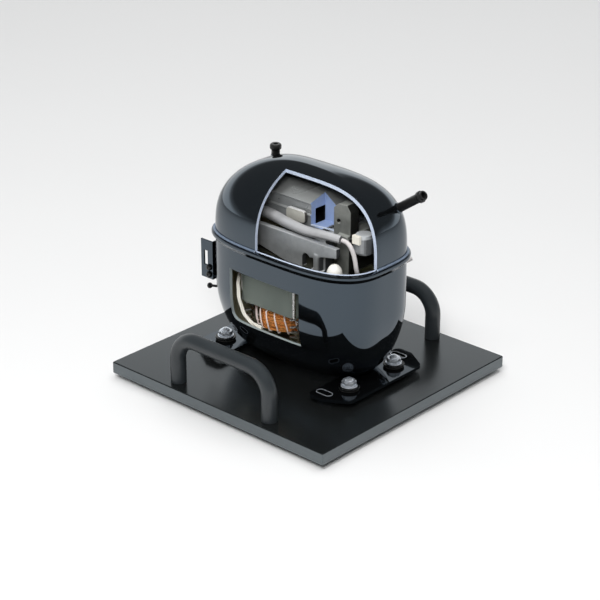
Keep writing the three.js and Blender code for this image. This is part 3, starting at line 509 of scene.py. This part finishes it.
def box_data(x0, x1, y0, y1, z0, z1):
    """Vertices and faces of a box between six planes."""
    verts = [(x, y, z) for z in (z0, z1) for x, y in ((x0, y0), (x1, y0), (x1, y1), (x0, y1))]
    return rings_solid([verts[:4], verts[4:]])


def carve(ob, cutters, finish=None):
    """Takes closed shapes out of a piece; new faces get the finish, if one is given."""
    for verts, faces in cutters:
        tool = piece("cutter", verts, faces, finish or ob.data.materials[0])
        m = ob.modifiers.new("carve", "BOOLEAN")
        m.operation, m.solver, m.object = "DIFFERENCE", "EXACT", tool
        m.material_mode = "TRANSFER"
        bake(ob)
        bpy.data.objects.remove(tool)
    shade(ob.data, 35)


def bake(ob):
    """Turns the modifiers into mesh."""
    graph = bpy.context.evaluated_depsgraph_get()
    mesh = bpy.data.meshes.new_from_object(ob.evaluated_get(graph), depsgraph=graph)
    ob.modifiers.clear()
    ob.data = mesh


def cast_copy(name, node, finish, voxel, soften):
    """A copy of a CAD solid with the rounded edges and fillets of a casting."""
    source = NODES[node].data
    verts = [v.co / MM for v in source.vertices]
    faces = [tuple(p.vertices) for p in source.polygons]
    ob = piece(name, verts, faces, finish, stands_for=[node])
    weld = ob.modifiers.new("weld", "WELD")
    weld.merge_threshold = 1e-5
    remesh = ob.modifiers.new("remesh", "REMESH")
    remesh.mode, remesh.voxel_size = "VOXEL", voxel * MM
    smooth = ob.modifiers.new("smooth", "SMOOTH")
    smooth.factor, smooth.iterations = 0.5, soften
    bake(ob)
    shade(ob.data, 180)
    return ob


def strands(name, paths, radius, finish, body="base", stands_for=()):
    """Thin wires, each a closed loop, as one curve piece."""
    curve = bpy.data.curves.new(name, "CURVE")
    curve.dimensions = "3D"
    curve.bevel_depth = radius * MM
    curve.bevel_resolution = 2
    curve.use_fill_caps = True
    for path in paths:
        spline = curve.splines.new("POLY")
        spline.points.add(len(path) - 1)
        for point, q in zip(spline.points, path):
            point.co = (*(c * MM for c in q), 1.0)
        spline.use_cyclic_u = True
        spline.use_smooth = True
    curve.materials.append(finish)
    ob = bpy.data.objects.new(name, curve)
    bpy.context.scene.collection.objects.link(ob)
    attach(ob, body)
    if stands_for:
        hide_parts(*stands_for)
    return ob


# ------------------------------------------------------------ shell
PLAN_STEPS = 192


def power(value, exponent):
    """A power that keeps the sign of its base."""
    return math.copysign(abs(value) ** exponent, value)


def even_angles(n):
    """Angles that space points evenly round the plan curve."""
    fine = [math.tau * (i / 6000) for i in range(6001)]
    pts = [(SHELL["a"] * power(math.cos(t), 2 / n), SHELL["b"] * power(math.sin(t), 2 / n))
           for t in fine]
    run = [0.0]
    for p, q in zip(pts, pts[1:]):
        run.append(run[-1] + math.dist(p, q))
    out, k = [], 0
    for i in range(PLAN_STEPS):
        goal = run[-1] * i / PLAN_STEPS
        while run[k + 1] < goal:
            k += 1
        out.append(fine[k] + (fine[k + 1] - fine[k]) * (goal - run[k]) / max(1e-9, run[k + 1] - run[k]))
    return out


ANGLES = even_angles(SHELL["n"])


def plan_ring(z, left, right, front, back, n=SHELL["n"]):
    """The shell's plan at a height, as a superellipse with its own half width on each side."""
    out = []
    for angle in ANGLES:
        c, s = math.cos(angle), math.sin(angle)
        a = right if c > 0 else left
        b = back if s > 0 else front
        out.append((SHELL["cx"] + a * power(c, 2 / n), b * power(s, 2 / n), z))
    return out


def taper(t, p, q):
    """How much of the seam's width is left at the share t of the dome's height."""
    return max(1e-9, 1 - t ** p) ** (1 / q)


def dome_rings(inset, z0, levels=56):
    """Rings of the dome from z0 up, inset by the wall for its inside."""
    a, b, height = SHELL["a"] - inset, SHELL["b"] - inset, DOME["h"] - inset
    rings = [plan_ring(z0, a, a, b, b)]
    for i in range(levels + 1):
        t = min(0.99995, math.sin(math.pi / 2 * i / levels))
        rings.append(plan_ring(SHELL["seam"] + 0.31 + t * height, a * taper(t, *DOME["left"]),
                               a * taper(t, *DOME["right"]), b * taper(t, *DOME["front"]),
                               b * taper(t, *DOME["back"])))
    return rings


def lower_rings(inset, z0, z1, levels=40):
    """Rings of the pan from its rounded bottom up to z1, inset by the wall for its inside."""
    rings = []
    knee = SHELL["bottom"] + SHELL["corner"]
    for i in range(levels + 1):  # the rounded bottom, whose first ring is 4 mm smaller
        z = z0 + (knee - z0) * (1 - math.cos(math.pi / 2 * i / levels))
        depth = min(1.0, max(0.0, (knee - z) / SHELL["corner"]))
        tuck = inset + SHELL["tuck"] * (1 - math.sqrt(1 - 0.97 * depth * depth)) + (4 if i == 0 else 0)
        n = SHELL["n"] + (SHELL["low_n"] - SHELL["n"]) * depth
        rings.append(plan_ring(z, *[SHELL["a"] - tuck] * 2, *[SHELL["b"] - tuck] * 2, n))
    for k in range(1, 9):  # the straight wall above it
        z = knee + (z1 - knee) * k / 8
        rings.append(plan_ring(z, *[SHELL["a"] - inset] * 2, *[SHELL["b"] - inset] * 2))
    return rings


def cylinder_data(origin, axis, r, length):
    """Skin of a cylinder that starts at the origin given."""
    start = Vector(origin)
    return tube_data([start, start + Vector(axis).normalized() * length], r, 48)


def window_wedge(z0):
    """The front right part that the upper window takes away, from z0 up."""
    far_x, far_y, far_z = 140, -100, 260  # well past the shell
    return box_data(DOME_CUT[0], far_x, far_y, DOME_CUT[1], z0, far_z)


seam = SHELL["seam"]
wall = SHELL["wall"]
TUBE_START, TUBE_AXIS = Vector((87.124, 30, 200.004)), Vector((0.819, 0, 0.574)).normalized()
CHARGE = (-64, 20)
dome = piece("dome_shell", *rings_solid(dome_rings(0, seam + 0.3)), ENAMEL, stands_for=["shell_upper"])
carve(dome, [rings_solid(dome_rings(wall, seam - 1))], LINING)
carve(dome, [window_wedge(seam - 4)], CUT_PALE)
carve(dome, [cylinder_data(TUBE_START - TUBE_AXIS * 8, TUBE_AXIS, 5.1, 40),
             cylinder_data((*CHARGE, 185), (0, 0, 1), 4.8, 60)])

lower = piece("lower_shell", *rings_solid(lower_rings(0, SHELL["bottom"], seam - 2)), ENAMEL,
              stands_for=["shell_lower"])
carve(lower, [rings_solid(lower_rings(wall, SHELL["bottom"] + wall, seam + 1))], INNER)
x0, x1, z0, z1, corner = (SIDE_CUT[k] for k in ("x0", "x1", "z0", "z1", "corner"))
window = [(x1, z1), (x0, z1), (x0, z0 + corner)]
window += [(x0 + corner * (1 + math.cos(a)), z0 + corner * (1 + math.sin(a)))
           for a in (math.pi + math.pi / 2 * k / 12 for k in range(1, 12))]
window += [(x0 + corner, z0), (x1, z0)]
carve(lower, [rings_solid([[(x, y, z) for x, z in window] for y in (-30, -90)])], CUT_GREY)
carve(lower, [cylinder_data((TERMINAL_X - 6, 0, TERMINAL_Z), (1, 0, 0), 15.3, 22),
              cylinder_data((DISCHARGE_X, 50, DISCHARGE_Z), (0, 1, 0), 2.9, 20)])


def rim_ring(z, out):
    """The shell's plan at a height, moved outwards."""
    return plan_ring(z, *[SHELL["a"] + out] * 2, *[SHELL["b"] + out] * 2)


# rolled flange where the halves meet, with a bead on top of it whose blue-grey colour is a painted highlight
# of the flange's top edge, as (height, outwards)
flange = [(-9.2, -0.4), (-9.0, 0.3), (-4.9, 3.0), (-4.5, 3.3), (-4.0, 3.5), (-1.6, 3.5), (-1.0, 3.2),
          (-0.7, 2.4), (-0.7, -0.5), (-0.3, -0.8), (0.0, -1.1), (0.0, -3.2), (-2.6, -3.2), (-8.8, -3.0)]
lip = piece("seam_flange", *rings_solid([rim_ring(seam + z, out) for z, out in flange], closed=True),
            ENAMEL)
carve(lip, [window_wedge(seam - 0.4)], CUT_PALE)
bead = [(-0.68, 0.1), (-0.6, 1.7), (0.4, 2.0), (0.8, 1.8), (1.1, 1.3), (1.25, 0.6), (1.25, 0.12)]
seal = piece("seam_bead", *rings_solid([rim_ring(seam + z, out) for z, out in bead], closed=True),
             BEAD_HIGHLIGHT)
carve(seal, [window_wedge(seam - 4)], CUT_PALE)

# ------------------------------------------------------------ board, feet, handles
carry("base_board", LAMINATE, 0.35)
FOOT_AT = (123.0, 119.0)
for tag, (sx, sy) in CORNERS.items():
    turned(f"foot_{tag}", (sx * FOOT_AT[0], sy * FOOT_AT[1], 0), (0, 0, 1),
           [(0, 0.6), (3.2, 0.6), (3.4, 0), (8, 0), (8.8, 0.5), (9, 1.4), (8.6, 4.3), (8.2, 4.7), (0, 4.7)],
           RUBBER, stands_for=[f"board_foot_{tag}"])


def handle_path(y):
    """Centre line of a carry handle: up, round a bend, across and down again."""
    half, top, base = HANDLE["span"] / 2, BOARD_TOP + HANDLE["height"], BOARD_TOP + 0.3
    r = HANDLE["bend"]
    left = [(-half, base + 0.01), (-half, base + 0.5), (-half, base + 2), (-half, (base + top - r) / 2)]
    left += [(-half + r * (1 - math.cos(a)), top - r * (1 - math.sin(a)))
             for a in (math.pi / 2 * k / 24 for k in range(25))]
    right = [(-x, z) for x, z in reversed(left)]
    return [Vector((x, y, z)) for x, z in left + [(0, top)] + right]


for depth, sy in (("front", -1), ("back", 1)):
    piece(f"handle_{depth}", *tube_data(handle_path(sy * HANDLE["y"]), HANDLE["r"], 40), POWDER,
          stands_for=[f"carry_handle_{depth}"], sharp=50)

# ------------------------------------------------------------ foot plates and fixings
for side in ("left", "right"):
    carry(f"foot_plate_{side}", ENAMEL, 0.7)
    for depth, sy in (("front", -1), ("back", 1)):
        sx = -1 if side == "left" else 1
        rim_line = [(sx * SLOT["x"] + x, sy * SLOT["y"] + y, PLATE_TOP + 0.05)
                    for x, y in rounded(SLOT["half_x"], SLOT["half_y"], SLOT["half_y"] - 0.01)]
        strands(f"slot_edge_{side}_{depth}", [rim_line], 0.45, ZINC)
GROMMET_TOP = PLATE_TOP + 1.6
WASHER_Z = GROMMET_TOP + 0.3
HEAD_Z = WASHER_Z + 1.9


def hex_head(name, x, y, z, across, height, finish, turn):
    """Hexagon with chamfered top corners, cut as a cone meets the flats."""
    levels, steps = 6, 12
    apothem = across / 2
    rings = []
    for level in range(levels + 1):
        rise = height * level / levels
        ring = []
        for k in range(6 * steps):
            a = math.tau * k / (6 * steps)
            flat = (a + math.pi / 6) % (math.pi / 3) - math.pi / 6
            cone = apothem * 1.01 + (height - rise) * 1.5
            r = min(apothem / math.cos(flat), cone)
            ring.append((x + r * math.cos(a + turn), y + r * math.sin(a + turn), z + rise))
        rings.append(ring)
    return piece(name, *rings_solid(rings), finish, sharp=22)


for tag, (sx, sy) in CORNERS.items():
    x, y = sx * MOUNT[0], sy * MOUNT[1]
    up = (0, 0, 1)
    turned(f"bush_{tag}", (x, y, 0), up,
           [(4.6, 18.3), (10, 18.3), (10.5, 18.8), (10.5, 22.2), (10, 22.7), (6.5, 22.7), (6.5, 26.3),
            (10, 26.3), (10.5, 26.8), (9.6, 27.6), (4.6, 27.6), (4.6, 18.3)],
           RUBBER, stands_for=[f"grommet_{tag}"])
    turned(f"ring_{tag}", (x, y, WASHER_Z), up,
           [(4.4, 0.2), (4.6, 0), (10.7, 0), (11, 0.3), (11, 1.3), (10.7, 1.6), (4.6, 1.6), (4.4, 1.4),
            (4.4, 0.2)], DARK_STEEL, stands_for=[f"washer_{tag}"])
    shank = [(0, 9), (3.4, 9), (4, 9.8), (4, HEAD_Z), (8.4, HEAD_Z), (8.6, HEAD_Z + 0.4),
             (8.4, HEAD_Z + 1.0), (6.4, HEAD_Z + 1.6), (0, HEAD_Z + 1.6)]
    turned(f"bolt_{tag}", (x, y, 0), up, shank, ZINC, stands_for=[f"mounting_bolt_{tag}"])
    hex_head(f"bolt_hex_{tag}", x, y, HEAD_Z + 1.0, 13, 5.0, ZINC, random.uniform(0, 1))
    crown = [(4.4, 4.7), (4.5, 6.6), (4.1, 7.5), (3.2, 8.3), (2.0, 8.9), (0.9, 9.15), (0, 9.2)]
    turned(f"bolt_tip_{tag}", (x, y, HEAD_Z), up, crown, ZINC)

# ------------------------------------------------------------ connection tubes
stub = [(0, 0), (4.4, 0), (4.8, 0.4), (4.8, 37), (5.5, 37.5), (6, 38.4), (6, 41.2), (5.4, 42.0),
        (4.8, 42.4), (4.8, 44.6), (4.5, 45), (3.7, 45), (3.4, 44.6), (3.4, 14), (0, 14)]
turned("suction_stub", TUBE_START, TUBE_AXIS, stub, STUB, stands_for=["suction_tube"])
turned("suction_fillet", TUBE_START + TUBE_AXIS * 3.5, TUBE_AXIS,
       [(4.9, 0), (7.8, 0), (6.9, 1.6), (5.8, 3.2), (4.9, 5.4), (4.9, 0)], ENAMEL)
turned("process_stub", (*CHARGE, 0), (0, 0, 1),
       [(0, 190), (4.5, 190), (4.5, 229.6), (5.1, 230.2), (5.9, 230.8), (6.1, 232), (6.1, 234.4),
        (5.6, 235.4), (4.8, 236), (2.8, 236), (2.6, 235.4), (2.6, 226), (0, 226)],
       STUB, stands_for=["process_tube"])
turned("process_fillet", (*CHARGE, 219), (0, 0, 1),
       [(4.6, 0), (8, 0), (6.6, 2), (5.2, 4), (4.6, 6), (4.6, 0)], ENAMEL)

# ------------------------------------------------------------ terminal and bracket
turned("terminal_glass", (TERMINAL_X, 0, TERMINAL_Z), (1, 0, 0),
       [(0, 0), (3, 0.6), (12, 0.6), (12.6, 0), (15, 0), (15, 7), (0, 7)], GLASS,
       stands_for=["terminal_feedthrough"])
turned("terminal_collar", (TERMINAL_X - 0.6, 0, TERMINAL_Z), (1, 0, 0),
       [(12.6, 0.2), (13, 0), (15, 0.3), (15.4, 1), (15.0, 1.8), (12.6, 1.8), (12.6, 0.2)], STEEL_X)
for i in range(3):
    a = math.pi / 2 + math.tau * i / 3
    y, z = PIN_CIRCLE * math.cos(a), TERMINAL_Z + PIN_CIRCLE * math.sin(a)
    turned(f"terminal_pin_{i + 1}", (TERMINAL_X - 11, y, z), (1, 0, 0),
           [(0, 0), (1.2, 0), (1.6, 0.5), (1.6, 27), (0, 27)], STEEL_X)
    turned(f"terminal_eyelet_{i + 1}", (TERMINAL_X - 1, y, z), (1, 0, 0),
           [(1.7, 0), (3.4, 0.9), (3.8, 1.6), (1.7, 1.6), (1.7, 0)], GLASS)
carry("terminal_bracket", ENAMEL, 0.5)
for i, z in enumerate((95, 103)):
    turned(f"screw_{i + 1}", (-107, -33.6, z), (0, -1, 0),
           [(0, 0), (1.8, 0), (1.8, 3.7), (3.4, 3.7), (3.5, 4.4), (3.0, 5.4), (2, 6), (1.1, 6.1),
            (1.0, 5.0), (0, 4.9)], DARK_STEEL, stands_for=[f"bracket_screw_{i + 1}"])
turned("earth_pin", (-99, -27, 80), (-1, -0.2, -0.15),
       [(0, 0), (1.4, 0), (1.4, 12.8), (2.2, 13.2), (2.9, 14), (3.2, 15.2), (3.0, 16.4), (2.2, 17.3),
        (1, 17.6), (0, 17.6)], DARK_STEEL, stands_for=["earth_stud"])

# ------------------------------------------------------------ suspension springs
for tag, (sx, sy) in CORNERS.items():
    x, y = CRANK_X + sx * SPRING["x"], sy * SPRING["y"]
    path = []
    for i in range(SPRING["turns"] * 24 + 1):
        t = i / (SPRING["turns"] * 24)
        climb = min(1, max(0, t + 0.05 * math.sin(math.tau * t)))
        a = math.tau * SPRING["turns"] * t
        path.append(Vector((x + SPRING["r"] * math.cos(a), y + SPRING["r"] * math.sin(a),
                            SPRING["low"] + (SPRING["high"] - SPRING["low"]) * climb)))
    piece(f"spring_{tag}", *tube_data(path, SPRING["wire"], 12), BRIGHT,
          stands_for=[f"suspension_spring_{tag}"], sharp=60)


# ------------------------------------------------------------ motor
def stack(name, half_x, half_y, corner_r, bore, low, high, sheets, finish, **options):
    """A pile of sheets with a groove at every joint on its outside, round a plain bore."""
    outer = rounded(half_x, half_y, corner_r)
    inner = []
    for x, y in outer:
        a = math.atan2(y, x)
        inner.append((bore * math.cos(a), bore * math.sin(a)))
    levels = []
    step = (high - low) / sheets
    for i in range(sheets):
        levels += [(low + step * i, 0.16), (low + step * (i + 0.22), 0.0), (low + step * (i + 0.78), 0.0)]
    levels.append((high, 0.16))
    rings = []
    for z, dip in levels:
        rings.append([(CRANK_X + x * (1 - dip / half_x), y * (1 - dip / half_y), z) for x, y in outer])
    for z, _ in reversed(levels[::3] + [levels[-1]]):
        rings.append([(CRANK_X + x, y, z) for x, y in inner])
    return piece(name, *rings_solid(rings, closed=True), finish, **options)


stack("stator_stack", STATOR["x"], STATOR["y"], STATOR["corner"], STATOR["bore"], STATOR["z0"],
      STATOR["z1"], 40, LAMINATION, stands_for=["stator_core"], sharp=20)
for i, (sx, sy) in enumerate(CORNERS.values()):
    x, y = CRANK_X + sx * (STATOR["x"] - 3.4), sy * (STATOR["y"] - 3.4)
    path = [Vector((x, y, STATOR["z0"] + 0.2 + (STATOR["z1"] - STATOR["z0"] - 0.4) * k / 40))
            for k in range(41)]
    piece(f"stator_weld_{i + 1}", *tube_data(path, lambda t: 2.0 + 0.12 * math.sin(t * 90), 14), BRIGHT,
          sharp=60)

COIL = {"r": 34.5, "half": 3.9, "bulge": 0.9, "stretch": 1.12}


def coil(name, z_near, z_far, node, wires, seed):
    """A coil head: a loose bundle of round wires that bulges at each pole."""
    rng = random.Random(seed)
    paths = []
    for i in range(wires):
        layer = i % 3
        a = math.tau * i / wires
        flat = max(abs(math.cos(a)), abs(math.sin(a))) ** 0.75
        u0 = math.cos(a) / flat * (1 - 0.16 * layer)
        v0 = 0.5 + 0.5 * math.sin(a) / flat * (1 - 0.18 * layer)
        phase, wander = rng.uniform(0, math.tau), rng.uniform(0.03, 0.09)
        path = []
        for k in range(120):
            t = math.tau * k / 120
            swell = COIL["bulge"] * math.cos(4 * t)
            u = u0 + wander * math.sin(3 * t + phase)
            v = min(1.0, max(0.04, v0 + wander * math.sin(5 * t + 2 * phase)))
            r = COIL["r"] + u * (COIL["half"] - 0.5 + 0.6 * swell) + 0.6 * swell
            z = z_near + (z_far - z_near) * v * 0.96 * (1 + 0.03 * swell)
            path.append((CRANK_X + r * math.cos(t), COIL["stretch"] * r * math.sin(t), z))
        paths.append(path)
    return strands(name, paths, 0.42, COPPER, stands_for=[node])


coil("coil_head_top", 116.0, 125.2, "winding_top", 84, 3)
coil("coil_head_bottom", 82.9, 61.6, "winding_bottom", 170, 5)

LACE = {"loops": 24, "mid": 34.8, "half": 5.9, "z": 72.2, "rise": 11.6, "lean": 0.12}
lace = []
for i in range(LACE["loops"] * 16):
    turn = math.tau * i / 16
    around = math.tau * i / (LACE["loops"] * 16) - LACE["lean"] * math.sin(turn)
    flat = max(abs(math.cos(turn)), abs(math.sin(turn))) ** 0.6
    r = LACE["mid"] + LACE["half"] * math.cos(turn) / flat
    lace.append((CRANK_X + r * math.cos(around), COIL["stretch"] * r * math.sin(around),
                 LACE["z"] + LACE["rise"] * math.sin(turn) / flat))
strands("coil_lacing", [lace], 0.8, CORD, stands_for=["winding_lacing"])

LEADS = [(-20, -49.4, 64.4), (-30, -50.3, 66), (-38, -50.8, 69.5), (-46, -51, 78.5), (-52, -49.7, 92),
         (-56.5, -45.5, 103), (-65, -34, 109), (-75, -18, 109), (-84, -7, 105.5), (-88.4, -6, 104.5)]
LEAD_R, LEAD_TURNS = 1.05, 2.4
lead_path = smooth_path(LEADS, 10)
lead_frames = frames_along(lead_path)
for i in range(3):
    twist = []
    for k, (point, (side, up)) in enumerate(zip(lead_path, lead_frames)):
        a = LEAD_TURNS * math.tau * k / len(lead_path) + math.tau * i / 3
        twist.append(point + (side * math.cos(a) + up * math.sin(a)) * LEAD_R)
    ob = piece(f"lead_{i + 1}", *tube_data(twist, LEAD_R, 12), SLEEVE, sharp=60)
    if i == 0:
        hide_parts("motor_leads")

turned("rotor", (CRANK_X, 0, 0), (0, 0, 1),
       [(8, 85), (22, 85), (22, 81), (26, 81), (26.5, 81.5), (26.5, 85), (28.4, 85), (28.4, 116.4),
        (26.5, 116.4), (26.5, 119), (26, 119.4), (22, 119.4), (22, 116.4), (8, 116.4), (8, 85)],
       LAMINATION, segments=72, body="crank", stands_for=["rotor_core"])
carry("crankshaft", STEEL, 0.4)
turned("oil_tube", (CRANK_X, 0, 0), (0, 0, 1),
       [(0, 36), (1.6, 36), (2, 36.4), (2.6, 37.4), (5.2, 57), (5.0, 57.6), (3.2, 57.6), (3.2, 69), (0, 69)],
       BRIGHT, body="crank", stands_for=["oil_pickup"])
carry("slide_block", STEEL, 0.4)
carry("scotch_yoke", STEEL, 0.5)
carry("yoke_cap", STEEL, 0.3)
carry("piston", BRIGHT, 0.2)

# ------------------------------------------------------------ cylinder block and head
block = cast_copy("block_casting", "cylinder_block", CAST_LIGHT, 0.7, 4)
block.data.materials.append(CAST_PAINTED_SHADE)
# faces between the side walls and below their sloping foot get the near-black cast finish as painted shade
WALL_FACE, DECK_Z, DECK_END = 39.15, 145.3, 38
(FOOT_X0, FOOT_Z0), (FOOT_X1, FOOT_Z1) = (-52, 156), (5, 143.5)
for face in block.data.polygons:
    x, y, z = face.center / MM
    foot = FOOT_Z0 + (x - FOOT_X0) * (FOOT_Z1 - FOOT_Z0) / (FOOT_X1 - FOOT_X0)
    if abs(y) < WALL_FACE and z < max(DECK_Z, foot + 0.3) and x < DECK_END:
        face.material_index = 1
carry("valve_plate", STEEL_X, 0.3)
cast_copy("head_casting", "cylinder_head", CAST, 0.6, 3)
for level in ("lower", "upper"):
    for depth in ("front", "back"):
        carry(f"head_bolt_{level}_{depth}", DARK_STEEL, 0.3)


def section_x(outline, x0, x1):
    """An outline in Y and Z, run from x0 to x1."""
    return rings_solid([[(x, y, z) for y, z in outline] for x in (x0, x1)])


# long pressed housing of the suction muffler, its right front corner cut away
house = [(-19, 178.3), (24, 178.3), (24, 203), (23, 205.4), (17.5, 210), (15, 211), (8, 211), (5, 210.4),
         (-18.4, 204.3), (-19.6, 203.6), (-19.4, 202.6), (-18.4, 201.6), (-18.3, 192.2), (-19.2, 191.4),
         (-20, 190.8), (-20, 189.8), (-19.1, 189)]
muffler = piece("muffler_housing", *section_x(house, -50, MUFFLER_END_X - 1), PRESSED,
                stands_for=["suction_muffler"], sharp=28)
carve(muffler, [box_data(MUFFLER_CUT_X, MUFFLER_END_X, -40, 2.5, FLOOR_Z, 230)], CUT_BLUE)
slope = [(MUFFLER_CUT_X, 209.4), (MUFFLER_END_X, 198), (MUFFLER_END_X, 220), (6, 220), (6, 211.2)]
carve(muffler, [rings_solid([[(x, y, z) for x, z in slope] for y in (30, -30)])])
# the muffler's hollow gets the near-black finish as painted shade
carve(muffler, [box_data(-8, MUFFLER_CUT_X + 0.1, -12, 2.51, FLOOR_Z, 196.3),
                box_data(-8, 18, 2.4, 15, FLOOR_Z, 196.3)], HOLLOW_SHADE)
extruded("muffler_foot", [(x - 19, y + 30.2) for x, y in rounded(11, 8.2, 2.5)], 178.3, 186, CAST, 0.4)
extruded("ledge_strip", [(20.2, -19.6), (48, -15.2), (48, -13.4), (20.2, -17.8)], 180.2, 181.7,
         CUT_PALE, 0.3)
extruded_y("inlet_box", [(4 + x, 188.5 + z) for x, z in rounded(13, 6.5, 4.5)], -24.6, -20.4, WORN, 1.0,
           stands_for=["muffler_inlet"])


def pipe_radius(t):
    """The suction pipe's radius, which shrinks towards its right end."""
    thick, thin = 5.7, 4.2
    return thick + (thin - thick) * min(1.0, max(0.0, (t - 0.3) / 0.6))


SUCTION = [(-46, -26.5, 182.6), (-38, -27, 182.8), (-27, -28.4, 183), (-15, -30.3, 182.8),
           (-4, -31.6, 181.8), (8, -32.4, 181), (24.5, -34, 180.9), (37, -35.4, 182.2), (48.9, -36.5, 184),
           (60, -36.6, 184.8), (68, -35.8, 184.8), (73.2, -34.6, 184.4)]
piece("suction_bend", *tube_data(smooth_path(SUCTION), pipe_radius, 28), PIPE,
      stands_for=["suction_pipe"], sharp=60)
DISCHARGE = [(74.2, -34.1, 184.1), (80, -33, 182.6), (85, -33, 178.8), (88.6, -33, 172.6),
             (90.8, -33, 165.5), (92, -32.4, 157), (92.6, -29, 146), (92.4, -22, 134), (91.8, -8, 123),
             (90, 8, DISCHARGE_Z), (83, 25, DISCHARGE_Z), (72, 36, DISCHARGE_Z), (63.5, 43, DISCHARGE_Z),
             (DISCHARGE_X, 52, DISCHARGE_Z), (DISCHARGE_X, 66, DISCHARGE_Z),
             (DISCHARGE_X, 92, DISCHARGE_Z)]
piece("discharge_pipe", *tube_data(smooth_path(DISCHARGE), 2.3, 20), LINE,
      stands_for=["discharge_line"], sharp=60)
cast_copy("vessel_casting", "discharge_muffler", CAST_LIGHT, 0.5, 5)
carry("connector_plug", BEIGE, 0.5)
turned("stop_button", (72.6, -42.6, 0), (0, 0, 1),
       [(0, 141), (5.6, 141), (6.4, 141.6), (8, 143.4), (8, 151.5), (7.5, 154), (6.4, 156.6), (4.8, 158.7),
        (3.2, 159.9), (1.7, 160.3), (1.6, 159.2), (0, 159.1)], WHITE, stands_for=["spring_stop"])

# ------------------------------------------------------------ floor, light and camera
FLOOR_HALF = 4.5  # metres
floor_finish = Finish("floor", 0.7, Specular_IOR_Level=0.2)
floor_finish.colour(floor_finish.mix(floor_finish.noise(2, 2), (0.71, 0.71, 0.71), (0.73, 0.73, 0.73)))
floor_mesh = bpy.data.meshes.new("floor")
floor_corners = [(x * FLOOR_HALF, y * FLOOR_HALF, 0) for x, y in ((-1, -1), (1, -1), (1, 1), (-1, 1))]
floor_mesh.from_pydata(floor_corners, [], [(0, 1, 2, 3)])
floor_mesh.materials.append(floor_finish.material)
floor = bpy.data.objects.new("floor", floor_mesh)
bpy.context.scene.collection.objects.link(floor)

SWEEP_FALL, SWEEP_STRENGTH = 0.55, 1.35
SWEEP_STOPS = [(0.0, 1.0), (0.45, 0.95), (0.54, 0.30), (0.64, 0.11), (1.0, 0.11)]  # height and brightness


def studio_world():
    """A white sweep that climbs behind the object, with a dark room above it."""
    world = bpy.data.worlds.new("studio")
    bpy.context.scene.world = world
    world.use_nodes = True
    tree = world.node_tree
    background = tree.nodes["Background"]
    place = tree.nodes.new("ShaderNodeTexCoord")
    climb = tree.nodes.new("ShaderNodeVectorMath")
    climb.operation = "DOT_PRODUCT"
    climb.inputs[1].default_value = (0.67 * SWEEP_FALL, -0.74 * SWEEP_FALL, 1.0)
    lift = tree.nodes.new("ShaderNodeMath")
    lift.inputs[1].default_value = SWEEP_FALL
    ramp = tree.nodes.new("ShaderNodeValToRGB")
    tree.links.new(place.outputs["Generated"], climb.inputs[0])
    tree.links.new(climb.outputs["Value"], lift.inputs[0])
    tree.links.new(lift.outputs["Value"], ramp.inputs["Fac"])
    elements = ramp.color_ramp.elements
    elements[0].position, elements[1].position = SWEEP_STOPS[0][0], SWEEP_STOPS[-1][0]
    for height, _ in SWEEP_STOPS[1:-1]:
        elements.new(height)
    for element, (_, value) in zip(elements, SWEEP_STOPS):
        element.color = (value * 0.97, value * 0.99, value, 1)
    tree.links.new(ramp.outputs["Color"], background.inputs["Color"])
    background.inputs["Strength"].default_value = SWEEP_STRENGTH


def soft_box(name, place, target, size, watts):
    """A rectangular light aimed at a target, unseen in reflections."""
    light = bpy.data.lights.new(name, "AREA")
    light.shape, light.size, light.size_y = "RECTANGLE", *size
    light.energy = watts
    ob = bpy.data.objects.new(name, light)
    ob.location = place
    ob.rotation_euler = (Vector(target) - Vector(place)).to_track_quat("-Z", "Y").to_euler()
    ob.visible_glossy = False
    bpy.context.scene.collection.objects.link(ob)


studio_world()
soft_box("overhead", (-0.4, 0.5, 4.0), (0, 0, 0.1), (5.0, 5.0), 165)
soft_box("key", (0.35, -1.2, 1.9), (0, 0, 0.12), (0.6, 0.4), 18)
soft_box("fill", (1.0, -1.3, 1.25), (0, 0, 0.13), (0.5, 0.4), 16)

# the photograph's viewpoint, in metres, with its line of sight and angle of view
CAMERA_AT, CAMERA_LOOK, CAMERA_ANGLE = (1.2015, -1.3338, 0.9078), (-0.61184, 0.67250, -0.41642), 17.834
camera_data = bpy.data.cameras.new("camera")
camera_data.angle = math.radians(CAMERA_ANGLE)
camera_data.sensor_width = 36
camera = bpy.data.objects.new("camera", camera_data)
camera.location = CAMERA_AT
camera.rotation_euler = Vector(CAMERA_LOOK).to_track_quat("-Z", "Y").to_euler()
bpy.context.scene.collection.objects.link(camera)
bpy.context.scene.camera = camera
bpy.context.scene.view_settings.view_transform = "Standard"
